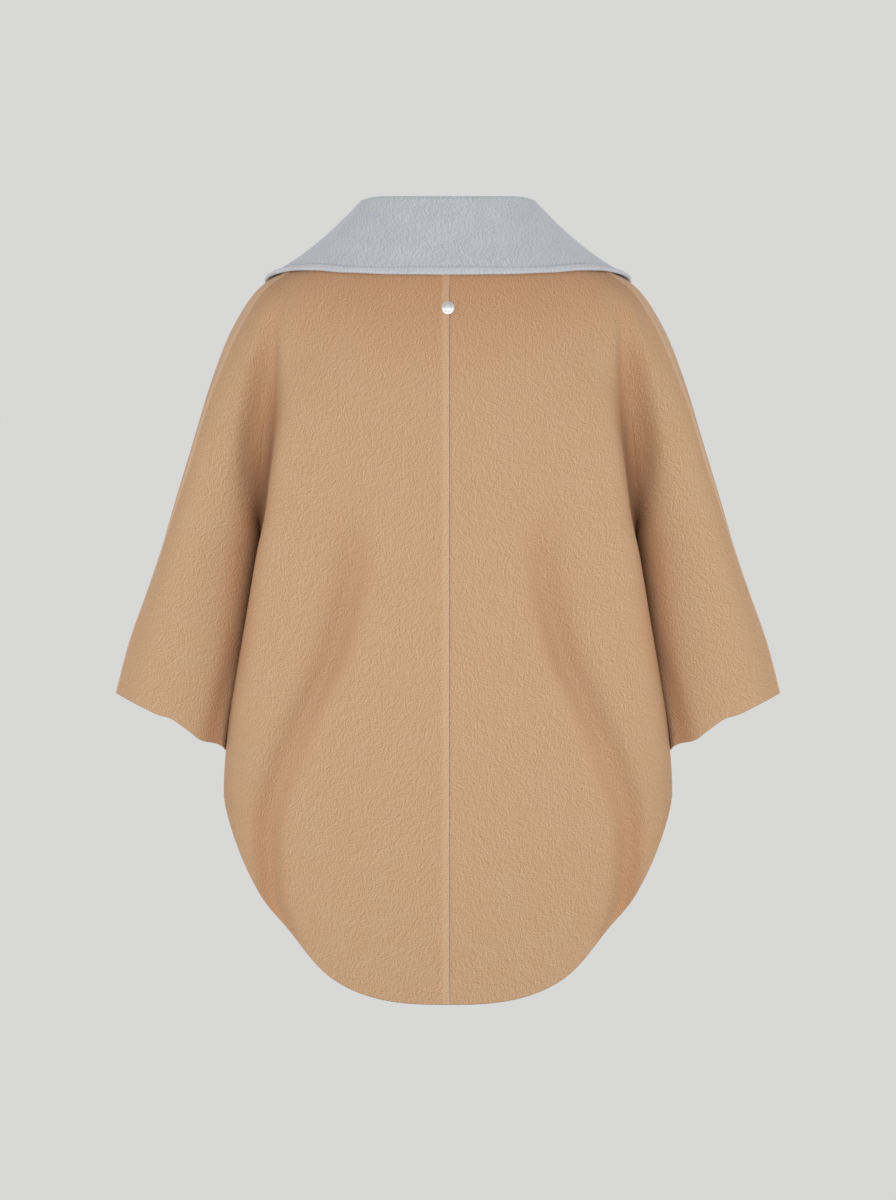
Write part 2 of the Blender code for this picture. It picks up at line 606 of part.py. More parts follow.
def pierced_button():
    """One button mesh: a disc with a raised rim, a dished face and four holes."""
    r, h, floor = BUTTON_RADIUS, BUTTON_THICKNESS, BUTTON_THICKNESS - BUTTON_DISH
    inner = BUTTON_RADIUS - BUTTON_RIM
    profile = ((0, 0), (r - BUTTON_EDGE, 0), (r, BUTTON_EDGE), (r, h - BUTTON_EDGE), (r - BUTTON_EDGE, h),
               (inner, h), (inner - BUTTON_EDGE, floor), (0, floor))
    blank = add("button_blank", turned(profile, 24, "button_blank"), "brown_horn")
    cutters = []
    for turn in range(HOLES):
        angle = math.tau * (turn + 0.5) / HOLES
        bm = bmesh.new()
        bmesh.ops.create_cone(
            bm, cap_ends=True, segments=8, radius1=HOLE_RADIUS * MM, radius2=HOLE_RADIUS * MM, depth=4 * h * MM
        )
        mesh = bpy.data.meshes.new("hole_cutter")
        bm.to_mesh(mesh)
        bm.free()
        cutter = add(f"hole_cutter_{turn}", mesh, "brown_horn")
        cutter.location = (HOLE_OFFSET * MM * math.cos(angle), HOLE_OFFSET * MM * math.sin(angle), 0.0)
        cut = blank.modifiers.new(f"hole_{turn}", "BOOLEAN")
        cut.operation = "DIFFERENCE"
        cut.object = cutter
        cutters.append(cutter)
    mesh = bpy.data.meshes.new_from_object(blank.evaluated_get(bpy.context.evaluated_depsgraph_get()))
    mesh.name = "button"
    for obj in [blank] + cutters:
        bpy.data.objects.remove(obj, do_unlink=True)
    return mesh


def build_buttons():
    """Four sewn-through buttons on the upper front, in two columns."""
    mesh = pierced_button()
    from_middle = BUTTON_X / BODY["x_blade"][ARMPIT]
    places = [(z, s) for z in BUTTON_HEIGHTS for s in (-from_middle, from_middle)]
    for number, (z, s) in enumerate(places, start=1):
        v = np.interp(-z, [-height for height in BODY["z_front"]], range(len(BODY_RINGS)))
        button = add(f"button_{number}", mesh, "brown_horn")
        stand_on(button, Station.CENTRE_FRONT + s, v, LAP + REST_GAP, -1)


def build_stud():
    """A plain domed stud at the centre back, just under the collar."""
    r, rise = STUD_RADIUS, STUD_HEIGHT - STUD_WALL
    arc = [(r * math.cos(a), STUD_WALL + rise * math.sin(a)) for a in np.linspace(0.0, math.pi / 2, 7)[:-1]]
    profile = [(0.0, 0.0), (r - STUD_WALL / 2, 0.0)] + arc + [(0.0, STUD_HEIGHT)]
    stud = add("stud", turned(profile, 28, "stud"), "brushed_silver")
    v = np.interp(-STUD_Z, [-height for height in BODY["z_back"]], range(len(BODY_RINGS)))
    stand_on(stud, Station.CENTRE_BACK, v, REST_GAP, 1)


# ---- scene ---------------------------------------------------------------------------------
def material(name):
    """The named material, made the first time it is asked for."""
    if name in bpy.data.materials:
        return bpy.data.materials[name]
    colour, roughness, metallic = MATERIALS[name]
    made = bpy.data.materials.new(name)
    made.use_nodes = True
    shader = made.node_tree.nodes["Principled BSDF"]
    shader.inputs["Base Color"].default_value = (*colour, 1.0)
    shader.inputs["Roughness"].default_value = roughness
    shader.inputs["Metallic"].default_value = metallic
    made.diffuse_color = (*colour, 1.0)
    return made


def add(name, mesh, finish):
    """Puts a mesh in the scene as a smooth-shaded object with its finish."""
    if not mesh.materials:
        mesh.materials.append(material(finish))
    mesh.shade_smooth()
    mesh.set_sharp_from_angle(angle=SMOOTH_ANGLE)
    obj = bpy.data.objects.new(name, mesh)
    bpy.context.scene.collection.objects.link(obj)
    return obj


def main():
    for obj in list(bpy.data.objects):
        bpy.data.objects.remove(obj, do_unlink=True)
    nets, normals = build_panels()
    build_collar(nets, normals)
    build_buttons()
    build_stud()


main()
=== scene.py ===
"""Looks of a cocoon pea coat: camel double-faced wool, filled out and hollow, with a blue-grey collar.

Lengths are millimetres and MM turns them into metres where a mesh is made. The origin is the middle
of the neck base, +Z is up, the back of the coat faces +Y and +X is the wearer's left. The form is
read at stations round half the coat, called s, and at ring numbers down it, called v.
"""

import logging
import math
from dataclasses import dataclass
from enum import Enum, Flag, IntEnum
from typing import Callable, Sequence

import bmesh
import bpy
import numpy as np
from mathutils import Matrix, Vector


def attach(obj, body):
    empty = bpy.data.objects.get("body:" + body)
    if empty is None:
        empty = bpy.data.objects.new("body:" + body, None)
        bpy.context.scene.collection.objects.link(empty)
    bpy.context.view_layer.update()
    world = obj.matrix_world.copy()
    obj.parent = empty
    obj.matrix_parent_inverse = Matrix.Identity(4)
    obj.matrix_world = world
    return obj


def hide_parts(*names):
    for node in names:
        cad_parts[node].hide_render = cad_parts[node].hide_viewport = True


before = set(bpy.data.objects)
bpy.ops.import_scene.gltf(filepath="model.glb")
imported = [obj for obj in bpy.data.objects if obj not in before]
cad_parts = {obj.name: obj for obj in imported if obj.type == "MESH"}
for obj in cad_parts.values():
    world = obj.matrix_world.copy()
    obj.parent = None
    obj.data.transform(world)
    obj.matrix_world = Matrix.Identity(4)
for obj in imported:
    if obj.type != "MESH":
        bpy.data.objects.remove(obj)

LOG = logging.getLogger("coat")
MM = 0.001
CLOTH = 2.6
SEAM_GAP = 0.3
REST_GAP = 0.5
LAP = CLOTH + REST_GAP
FINEST_STEP = 0.22
STEP_GROWTH = 1.32
MERGE = 0.00001
PATTERN_MAP = "cloth"
# The marks a finish reads: stitch is the stitches' pricks; pressed makes pressed cloth paler and also paints
# a highlight on the front of the shoulder; hollow paints shade into the colour in the creases, on the sleeves
# beside the body and below the collar.
STITCH, PRESSED_AND_SHEEN, PAINTED_SHADE = MARKS = ("stitch", "pressed", "hollow")
CARRIED = ("edge", "chart_u", "chart_v", "extra")

Array = np.ndarray
Pair = tuple[float, float]
Triple = tuple[float, float, float]
Table = tuple[tuple[float, ...], ...]
BMesh = bmesh.types.BMesh
Material = bpy.types.Material
Mesh = bpy.types.Mesh
Object = bpy.types.Object
Socket = bpy.types.NodeSocket


# ---- curves --------------------------------------------------------------------------------
class Fine(Flag):
    """The ends of a length where its places crowd together."""

    START = 1
    END = 2
    BOTH = START | END


def hermite(p0: Array, t0: Array, p1: Array, t1: Array, t: Array | float) -> Array:
    """A smooth curve from p0 to p1 that leaves along t0 and arrives along t1."""
    leaving = (1 + 2 * t) * (1 - t) ** 2 * p0 + t * (1 - t) ** 2 * t0
    return leaving + t * t * (3 - 2 * t) * p1 - t * t * (1 - t) * t1


def monotone(values: Sequence[float], at: Array) -> Array:
    """Reads a smooth curve through values at 0, 1, 2 and so on that never overshoots them.

    Args:
        values: The values that the curve passes through.
        at: Where the curve is read.

    Returns:
        The curve's value at each place.
    """
    values = np.asarray(values, float)
    steps = np.diff(values)
    slopes = np.zeros(len(values))
    same_way = steps[:-1] * steps[1:] > 0.0
    total = np.where(same_way, steps[:-1] + steps[1:], 1.0)
    slopes[1:-1] = np.where(same_way, 2.0 * steps[:-1] * steps[1:] / total, 0.0)
    slopes[0], slopes[-1] = steps[0], steps[-1]
    at = np.clip(np.asarray(at, float), 0.0, len(values) - 1.0)
    k = np.minimum(at.astype(int), len(values) - 2)
    return hermite(values[k], slopes[k], values[k + 1], slopes[k + 1], at - k)


def read_table(names: Sequence[str], rows: Table, v: Array) -> dict[str, Array]:
    """Reads each named column of a table of rings at the rings v."""
    return {name: monotone(column, v) for name, column in zip(names, zip(*rows))}


def smoothstep(span: Pair, x: Array | float) -> Array:
    """Rises smoothly from 0 to 1 over the span."""
    t = np.clip((np.asarray(x, float) - span[0]) / (span[1] - span[0]), 0.0, 1.0)
    return t * t * (3.0 - 2.0 * t)


def fading(span: Pair, x: Array | float) -> Array:
    """Falls smoothly from 1 to 0 over the span."""
    return 1.0 - smoothstep(span, x)


def hump(x: Array, half_width: Array | float) -> Array:
    """A smooth hump, 1 at nought and falling away over the half width."""
    return np.exp(-((x / half_width) ** 2))


def unit(vectors: Array) -> Array:
    """The same directions with length 1."""
    return vectors / np.maximum(np.linalg.norm(vectors, axis=-1, keepdims=True), 1e-9)


def lengths_along(points: Array, axis: int) -> Array:
    """Distance along a net of points from its first row or column, at every point."""
    steps = np.linalg.norm(np.diff(points, axis=axis), axis=-1)
    return np.concatenate([0.0 * np.take(steps, [0], axis), np.cumsum(steps, axis)], axis)


def graded(length: float, step: float, fine: Fine) -> Array:
    """Places along a length, a step apart but closer near the ends that are asked for.

    Args:
        length: The length to share out.
        step: The usual distance between places.
        fine: The ends where the places crowd together.

    Returns:
        Places from 0 to 1 as shares of the length.
    """
    lead, size = [], FINEST_STEP
    while size < step:
        lead.append(size)
        size *= STEP_GROWTH
    start = lead if Fine.START in fine else []
    end = lead[::-1] if Fine.END in fine else []
    rest = length - sum(start) - sum(end)
    count = max(int(round(rest / step)), 1)
    places = np.concatenate([[0.0], np.cumsum(start + [rest / count] * count + end)])
    return places / places[-1]


def spaced(line: Callable[[Array], Array], span: tuple[float, float, int], step: float, fine: Fine) -> Array:
    """Finds the numbers at which the points of a line lie a step apart along it.

    Args:
        line: Gives the line's points for an array of numbers.
        span: The first and last number, and at how many numbers the line is measured.
        step: The usual distance between points.
        fine: The ends where the points crowd together.

    Returns:
        The numbers, from the first to the last.
    """
    numbers = np.linspace(*span)
    run = lengths_along(line(numbers), 0)
    return np.interp(graded(run[-1], step, fine) * run[-1], run, numbers)


# ---- the coat's form -----------------------------------------------------------------------
class Station(IntEnum):
    """Places round half the coat, and the numbers that the form takes for them."""

    CENTRE_BACK = 0
    BLADE = 1
    BACK_EDGE = 2
    BACK_SIDE = 3
    SLEEVE_BACK = 4
    OVERARM = 5
    SLEEVE_FRONT = 6
    FRONT_SIDE = 7
    FRONT_EDGE = 8
    CHEST = 9
    CENTRE_FRONT = 10


def folded(stations: Array) -> Array:
    """Brings stations past the centre front back to where they lie on half the coat."""
    return np.minimum(stations, 2 * Station.CENTRE_FRONT - stations)


class Strip(Enum):
    """The two strips of cloth that part at the armpit."""

    BODY = "body"
    SLEEVE = "sleeve"


class Face(Enum):
    """Which face of the coat a panel covers."""

    BACK = "back"
    FRONT = "front"


@dataclass(frozen=True)
class Crease:
    """A soft valley down a panel, or a ridge where its depth is negative.

    rows gives (height, distance from the middle, half width, depth, hollow) from the top down, with
    hollow from 0 to 1 for how much shade is painted into the colour there, standing in for the shade
    that falls in the valley; where depth is 0 the crease is painted shade alone. lean makes the side
    towards the middle of the coat steeper and the other side softer, and shade_spread is how much wider
    than the valley its painted shade is.
    """

    face: Face
    rows: Table
    lean: float = 0.0
    shade_spread: float = 1.2

    def press(self, points: Array) -> tuple[Array, Array]:
        """Works out what the crease does to points of the coat.

        Args:
            points: The points.

        Returns:
            How far each point is pushed in, and how much shade is painted there.
        """
        z, x, half_width, depth, hollow = zip(*self.rows)
        at = np.interp(-points[..., 2], -np.array(z, float), range(len(z)))
        away, reach = np.abs(points[..., 0]) - monotone(x, at), monotone(half_width, at)
        reach = reach * (1.0 + self.lean * np.sign(away))
        shade = hump(away, self.shade_spread * reach)
        return monotone(depth, at) * hump(away, reach), monotone(hollow, at) * shade


@dataclass(frozen=True)
class CoatForm:
    """The coat's outer face, as a surface of ring numbers down it and stations round half of it.

    Ring 0 is the neck seam and the sleeves part from the body at ring armpit. y_side is half the
    opening between body and sleeve, closed where it is negative. cuff_waves gives (x, half width,
    rise) of the cuff's waves, and cuff_ease (amount, y, half width) of how far the sleeve's inner wall
    stands off the body near the cuff, between the heights and the x of ease_fall and ease_side.
    """

    armpit: int = 8
    hem_back: float = -815.0
    hem_front: float = -795.0
    hem_side: float = -598.0
    hem_half_width: float = 237.5
    hem_powers: Pair = (2.86, 1.257)
    notch: Triple = (169.4, 29.3, 10.5)
    body_columns: tuple[str, ...] = (
        "z_back", "z_front", "z_side", "y_back", "y_front", "x_blade", "x_edge", "y_edge", "x_side", "y_side",
    )
    body_rings: Table = (
        (0, -52, 5, 66, -92, 34, 60, 48, 76, 33),
        (-38, -82, -14, 94, -105, 56, 88, 69, 106, 51),
        (-78, -112, -36, 108, -115, 74, 118, 79, 138, 61),
        (-118, -145, -74, 117, -122, 80, 150, 86, 170, 71),
        (-160, -180, -128, 123, -127, 80, 171, 88, 188, 76),
        (-205, -218, -182, 127, -131, 80, 179, 89, 194, 69),
        (-255, -262, -240, 129, -133, 80, 187, 88, 199, 54),
        (-305, -308, -296, 131, -134, 80, 194, 87, 201, 30),
        (-350, -352, -330, 132, -135, 80, 202, 84, 198, 0),
        (-410, -410, -405, 133, -135, 80, 214, 78, 193, -30),
        (-470, -470, -470, 134, -134, 80, 225, 70, 200, -30),
        (-530, -530, -530, 134, -133, 80, 234, 58, 213, -30),
        (-590, -590, -590, 133, -131, 80, 238, 42, 231, -30),
        (-650, -650, -650, 130, -127, 80, 238, 32, 235, -30),
        (-720, -720, -720, 124, -120, 80, 234, 25, 231, -30),
        (-830, -830, -830, 110, -106, 80, 224, 20, 221, -30),
    )
    sleeve_columns: tuple[str, ...] = ("z_under", "x_under", "x_crest", "y_crest", "z_over", "x_over")
    sleeve_rings: Table = (
        (5, 76, 85, 17, 6, 88),
        (-14, 106, 118, 28, -11, 122),
        (-36, 138, 152, 37, -29, 158),
        (-74, 170, 189, 49, -53, 198.5),
        (-128, 188, 211, 64, -98, 229.5),
        (-182, 194, 225, 76, -157, 252.5),
        (-240, 199, 239, 84, -220, 271),
        (-296, 201, 252, 87, -282, 290),
        (-330, 198, 263, 87, -335, 305.5),
        (-405, 205, 272, 86, -385, 322.5),
        (-472, 213, 281, 84, -432, 339),
        (-549, 221, 290, 82, -486, 353.5),
    )
    blade_fall: float = 0.2
    edge_fall: float = 0.75
    front_tuck: float = 2.0
    bulge: tuple[float, ...] = (1.0, 1.15, 1.1, 1.35, 1.3)
    bulge_at_neck: float = 0.15
    crest_tilt: float = 0.35
    edge_turn: Pair = (3.0, 6.0)
    split: Pair = (4.5, 8.0)
    seam_lead: Pair = (0.50, 0.11)
    seam_lead_rings: Pair = (6.0, 10.0)
    lap_stations: Pair = (8.0, 8.9)
    cuff_waves: tuple[Triple, ...] = ((261.0, 12.0, -4.5), (293.0, 11.0, 3.0))
    cuff_wave_rings: Pair = (8.5, 11.0)
    cuff_ease: Triple = (8.0, 37.0, 17.0)
    ease_fall: Pair = (465.0, 549.0)
    ease_side: Pair = (248.0, 272.0)
    halvings: int = 30
    # The last column of each crease is painted shade: the colour is painted darker and redder in the valley.
    creases: tuple[Crease, ...] = (
        Crease(Face.BACK, (
            (-72, 182, 10, 0, 0),
            (-105, 184, 11, 5, 0.15),
            (-143, 184, 13, 12, 0.3),
            (-186, 185, 14, 11, 0.35),
            (-228, 189, 14, 8, 0.35),
            (-275, 195, 13, 0, 0),
        ), lean=0.6),
        Crease(Face.BACK, (
            (-275, 96, 20, 0, 0),
            (-355, 101, 20, 13, 0.13),
            (-440, 119, 19, 18, 0.14),
            (-504, 147, 18, 17, 0.10),
            (-567, 173, 17, 15, 0.18),
            (-631, 190, 14, 15, 0.35),
            (-694, 187, 13, 15, 0.40),
            (-745, 168, 11, 9, 0.35),
        ), lean=0.15),
        # Painted shade on the sleeve where it meets the body's edge, with only a shallow valley near the
        # cuff.
        Crease(Face.BACK, (
            (-225, 199, 10, 0, 0),
            (-285, 203, 11, 0, 0.4),
            (-335, 216, 12, 0, 0.5),
            (-395, 222, 12, 0, 0.5),
            (-440, 226, 11, 4, 0.45),
            (-480, 236, 10, 6, 0.45),
            (-525, 246, 11, 6, 0.5),
            (-565, 252, 11, 6, 0.5),
        )),
        Crease(Face.FRONT, (
            (-285, 128, 22, 0, 0),
            (-380, 133, 21, 12, 0.06),
            (-470, 150, 20, 16, 0.07),
            (-560, 172, 18, 15, 0.09),
            (-640, 188, 15, 14, 0.16),
            (-720, 178, 12, 10, 0.14),
        )),
    )

    @property
    def hem_ring(self) -> int:
        """The last ring of the body, below the hem everywhere."""
        return len(self.body_rings) - 1

    @property
    def cuff_ring(self) -> int:
        """The ring at the cuff."""
        return len(self.sleeve_rings) - 1

    def _points(self, v: Array, strip: Strip) -> Array:
        """Places the eleven stations on rings.

        Args:
            v: The rings.
            strip: The strip of cloth, body or sleeve.

        Returns:
            The stations' points, as an array (station, ring, xyz).
        """
        body = read_table(self.body_columns, self.body_rings, v)
        sleeve = read_table(self.sleeve_columns, self.sleeve_rings, v)
        if strip is Strip.BODY:
            x_side, z_side = body["x_side"], body["z_side"]
        else:
            x_side, z_side = sleeve["x_under"], sleeve["z_under"]
        half_open = np.maximum(body["y_side"], 0.0)
        zero = np.zeros_like(half_open)
        faces = []
        for face, tuck in ((Face.BACK, 0.0), (Face.FRONT, self.front_tuck)):
            y_middle, z_middle = body[f"y_{face.value}"], body[f"z_{face.value}"]
            depth, drop = y_middle / body["y_back"], z_side - z_middle
            x_edge, y_edge = body["x_edge"] - tuck, depth * body["y_edge"]
            roundness = np.sqrt(1.0 - (body["x_blade"] / x_edge) ** 2)
            y_blade = y_edge + roundness * (y_middle - y_edge)
            faces.append([
                (zero, y_middle, z_middle),
                (body["x_blade"], y_blade, z_middle + self.blade_fall * drop),
                (x_edge, y_edge, z_middle + self.edge_fall * drop),
                (x_side, depth * half_open, z_side),
                (sleeve["x_crest"], depth * sleeve["y_crest"], 0.5 * (sleeve["z_over"] + z_side)),
            ])
        back, front = faces
        overarm = [(sleeve["x_over"], zero, sleeve["z_over"])]
        return np.array([np.stack(point, -1) for point in back + overarm + front[::-1]])

    def _directions(self, p: Array, v: Array, strip: Strip) -> Array:
        """Finds which way each ring runs through its station points.

        Args:
            p: The stations' points.
            v: The rings.
            strip: The strip of cloth.

        Returns:
            A unit direction at each point.
        """
        turn = smoothstep(self.edge_turn, v)[:, None]
        split = smoothstep(self.split, v)[:, None]
        forward = np.array([0.0, -1.0, 0.0])
        into_slit = forward if strip is Strip.BODY else -forward
        d = np.zeros_like(p)
        d[Station.CENTRE_BACK], d[Station.CENTRE_FRONT] = (1.0, 0.0, 0.0), (-1.0, 0.0, 0.0)
        blades = ((Station.BLADE, Station.CENTRE_BACK, Station.BACK_EDGE, 1.0),
                  (Station.CHEST, Station.CENTRE_FRONT, Station.FRONT_EDGE, -1.0))
        for k, middle, edge, way in blades:
            along = p[k, :, 0] / p[edge, :, 0]
            slope = np.ones_like(p[k])
            slope[:, 1] = along / np.sqrt(1.0 - along**2)
            d[k] = way * unit((p[edge] - p[middle]) * slope)
        bends = ((Station.BACK_EDGE, turn, forward), (Station.FRONT_EDGE, turn, forward),
                 (Station.BACK_SIDE, split, into_slit), (Station.FRONT_SIDE, split, into_slit))
        for k, share, way in bends:
            d[k] = unit((1.0 - share) * unit(p[k + 1] - p[k - 1]) + share * way)
        for k in (Station.SLEEVE_BACK, Station.SLEEVE_FRONT):
            level = np.ones_like(p[k])
            level[:, 1] = 1.0 - (1.0 - self.crest_tilt) * turn[:, 0]
            d[k] = unit((p[k + 1] - p[k - 1]) * level)
        d[Station.OVERARM] = unit(p[Station.SLEEVE_FRONT] - p[Station.SLEEVE_BACK])
        return d

    def surface(self, s: Array | float, v: Array | float, strip: Strip) -> Array:
        """Finds points of the outer face, without its creases.

        Args:
            s: The stations.
            v: The rings.
            strip: The strip of cloth.

        Returns:
            A point for each station and ring.
        """
        s, v = np.broadcast_arrays(np.asarray(s, float), np.asarray(v, float))
        shape, s, v = s.shape, s.ravel(), v.ravel()
        p = self._points(v, strip)
        d = self._directions(p, v, strip)
        k = np.minimum(s.astype(int), Station.CENTRE_FRONT - 1)
        row = np.arange(len(s))
        start, end = p[k, row], p[k + 1, row]
        squareness = np.array(self.bulge + self.bulge[::-1])[k] - 1.0
        share = self.bulge_at_neck + (1.0 - self.bulge_at_neck) * smoothstep(self.edge_turn, v)
        reach = np.linalg.norm(end - start, axis=1, keepdims=True) * (1.0 + squareness * share)[:, None]
        out = hermite(start, reach * d[k, row], end, reach * d[k + 1, row], (s - k)[:, None])
        return out.reshape(shape + (3,))

    def outward(self, s: Array, v: Array, strip: Strip, step: float = 0.01) -> Array:
        """Finds unit normals of the outer face.

        Args:
            s: The stations.
            v: The rings.
            strip: The strip of cloth.
            step: How far either side it looks.

        Returns:
            A unit normal for each station and ring.
        """
        s, v = np.broadcast_arrays(np.asarray(s, float), np.asarray(v, float))
        last = self.hem_ring if strip is Strip.BODY else self.cuff_ring
        after, before = (np.clip(s + way, 0, Station.CENTRE_FRONT) for way in (step, -step))
        lower, upper = (np.clip(v + way, 0, last) for way in (step, -step))
        across = self.surface(after, v, strip) - self.surface(before, v, strip)
        down = self.surface(s, lower, strip) - self.surface(s, upper, strip)
        return unit(np.cross(across, down))

    def draped(self, s: Array, v: Array, strip: Strip) -> tuple[Array, Array]:
        """Finds points of the outer face with its creases pressed in.

        Args:
            s: The stations.
            v: The rings.
            strip: The strip of cloth.

        Returns:
            The points, and how much shade is painted at each.
        """
        points = self.surface(s, v, strip)
        x, y, z = (points[..., axis] for axis in range(3))
        if strip is Strip.SLEEVE:
            share = smoothstep(self.cuff_wave_rings, v)
            for place, half_width, rise in self.cuff_waves:
                z += share * rise * hump(x - place, half_width)
            amount, place, half_width = self.cuff_ease
            under = smoothstep(self.ease_fall, -z) * fading(self.ease_side, x)
            x += amount * under * hump(np.abs(y) - place, half_width)
        on_back = np.broadcast_to(np.asarray(s, float), x.shape) < Station.OVERARM
        depth, hollow = np.zeros(x.shape), np.zeros(x.shape)
        for crease in self.creases:
            there = on_back if crease.face is Face.BACK else ~on_back
            # closed is how much shade is painted into the colour at each point.
            pushed, closed = crease.press(points)
            depth += np.where(there, pushed, 0.0)
            hollow += np.where(there, closed, 0.0)
        y -= np.where(on_back, depth, -depth)
        return points, hollow

    def hem_height(self, s: Array, x: Array, middle: float) -> Array:
        """Finds the height of the rounded hem.

        Args:
            s: The stations.
            x: How far out each place is.
            middle: The hem's height in the middle.

        Returns:
            The hem's height at each place.
        """
        at_side = (s >= Station.BACK_EDGE) & (s <= Station.FRONT_EDGE)
        across = np.where(at_side, 1.0, np.clip(x / self.hem_half_width, 0.0, 1.0)) ** self.hem_powers[0]
        notch_x, notch_width, notch_rise = self.notch
        rise = notch_rise * hump(x - notch_x, notch_width)
        return self.hem_side + (middle - self.hem_side) * (1.0 - across) ** (1.0 / self.hem_powers[1]) + rise

    def ring_at_hem(self, s: Array, middle: float) -> Array:
        """Finds where the hem crosses each station of the body.

        Args:
            s: The stations.
            middle: The hem's height in the middle.

        Returns:
            The ring numbers.
        """

        def is_above(v: Array) -> Array:
            """Whether the surface is still above the hem."""
            points = self.surface(s, v, Strip.BODY)
            return points[:, 2] > self.hem_height(s, points[:, 0], middle)

        return self._crossing(is_above, s, self.armpit, self.hem_ring)

    def ring_at_height(self, s: Array, z: Array) -> Array:
        """The ring number above the armpit where each station comes down to a height."""
        return self._crossing(lambda v: self.on_either(self.surface, s, v)[:, 2] > z, s, 0, self.armpit)

    def _crossing(self, is_above: Callable[[Array], Array], s: Array, first: int, last: int) -> Array:
        """Finds the rings where stations stop being above something, by halving.

        Args:
            is_above: Whether each station is above it, for ring numbers.
            s: The stations.
            first: A ring where they are all above it.
            last: A ring where none is.

        Returns:
            The ring numbers.
        """
        low, high = np.full_like(s, first), np.full_like(s, last)
        for _ in range(self.halvings):
            middle = 0.5 * (low + high)
            above = is_above(middle)
            low, high = np.where(above, middle, low), np.where(above, high, middle)
        return 0.5 * (low + high)

    def on_either(self, read: Callable[[Array, Array, Strip], Array], s: Array, v: Array) -> Array:
        """Reads surface or outward at stations that lie partly on the body and partly on the sleeve."""
        on_body = (s <= Station.BACK_SIDE) | (s >= Station.FRONT_SIDE)
        return np.where(on_body[:, None], read(s, v, Strip.BODY), read(s, v, Strip.SLEEVE))

    def seam_station(self, v: Array) -> Array:
        """The station of the shoulder and overarm seam on the rings v."""
        high, low = self.seam_lead
        return Station.OVERARM - high + (high - low) * smoothstep(self.seam_lead_rings, v)

    def lap(self, s: Array) -> Array:
        """How far the upper front is lifted at each station, to lie on the lower one."""
        return LAP * smoothstep(self.lap_stations, s)


# ---- finishes ------------------------------------------------------------------------------
class Sketch:
    """A short way to lay out a material's nodes."""

    def __init__(self, name: str) -> None:
        """Starts a material with its shader and output.

        Args:
            name: The material's name.
        """
        self.material = bpy.data.materials.new(name)
        self.material.use_nodes = True
        self.tree = self.material.node_tree
        self.shader = self.tree.nodes["Principled BSDF"]

    def node(self, kind: str, inputs: dict | None = None, **settings: object) -> bpy.types.Node:
        """Adds a node.

        Args:
            kind: The node's type.
            inputs: What its inputs are fed, by name.
            **settings: Its properties.

        Returns:
            The node.
        """
        made = self.tree.nodes.new(kind)
        for key, value in settings.items():
            setattr(made, key, value)
        for key, value in (inputs or {}).items():
            self.feed(made.inputs[key], value)
        return made

    def feed(self, socket: Socket, value: object) -> None:
        """Links an output to a socket, or sets the socket's own value.

        Args:
            socket: The socket.
            value: An output, or a plain value.
        """
        if isinstance(value, Socket):
            self.tree.links.new(value, socket)
        else:
            socket.default_value = value

    def math(self, operation: str, *values: object, kind: str = "Math") -> Socket:
        """Works something out from two or three values.

        Args:
            operation: The name of the operation.
            *values: Numbers or outputs.
            kind: Math, or VectorMath for vectors.

        Returns:
            The result.
        """
        made = self.node(f"ShaderNode{kind}", operation=operation)
        for socket, value in zip(made.inputs, values):
            self.feed(socket, value)
        return made.outputs[0]

    def vector(self, operation: str, *values: object) -> Socket:
        """Works something out from vectors."""
        return self.math(operation, *values, kind="VectorMath")

    def scaled(self, vector: object, scale: Triple, turn: float = 0.0) -> Socket:
        """A vector turned about Z and then scaled along each axis."""
        turned = self.node("ShaderNodeMapping", {"Vector": vector, "Rotation": (0.0, 0.0, turn)})
        return self.node("ShaderNodeMapping", {"Vector": turned.outputs[0], "Scale": scale}).outputs[0]

    def noise(self, vector: object, detail: float = 0.0, rough: float = 0.5, distortion: float = 0.0,
              output: str = "Fac") -> Socket:
        """A noise whose grains are about one unit of the vector across."""
        inputs = {"Vector": vector, "Scale": 1.0, "Detail": detail, "Roughness": rough}
        inputs["Distortion"] = distortion
        return self.node("ShaderNodeTexNoise", inputs, noise_dimensions="3D").outputs[output]

    def speckle(self, place: object, size: float, **settings: object) -> Socket:
        """A noise whose grains are about a size across."""
        return self.noise(self.scaled(place, (1 / size,) * 3), **settings)

    def ramp(self, value: object, low: float, high: float, to_low: float = 0.0,
             to_high: float = 1.0) -> Socket:
        """Maps a span smoothly onto another."""
        inputs = {"Value": value, "From Min": low, "From Max": high, "To Min": to_low, "To Max": to_high}
        return self.node("ShaderNodeMapRange", inputs, interpolation_type="SMOOTHSTEP").outputs[0]

    def blend(self, share: object, first: object, second: object, mode: str = "MIX") -> Socket:
        """Mixes two colours.

        Args:
            share: How much of the second there is.
            first: A colour or an output.
            second: Another.
            mode: How they are mixed.

        Returns:
            The mixed colour.
        """
        made = self.node("ShaderNodeMix", data_type="RGBA", blend_type=mode)
        for socket, value in zip((made.inputs[0], made.inputs[6], made.inputs[7]), (share, first, second)):
            self.feed(socket, (*value, 1.0) if isinstance(value, tuple) else value)
        return made.outputs[2]

    def tint(self, share: object, colour: object, by: Triple) -> Socket:
        """Multiplies a colour by another, as much as the share says."""
        return self.blend(share, colour, by, "MULTIPLY")

    def set(self, **values: object) -> None:
        """Feeds the shader's own sockets, with spaces written as underscores."""
        for key, value in values.items():
            self.feed(self.shader.inputs[key.replace("_", " ")], value)

    def bump(self, height: Socket, distance: float) -> None:
        """Raises the surface by a height times a distance in millimetres."""
        made = self.node("ShaderNodeBump", {"Height": height, "Strength": 1.0, "Distance": distance * MM})
        self.set(Normal=made.outputs[0])


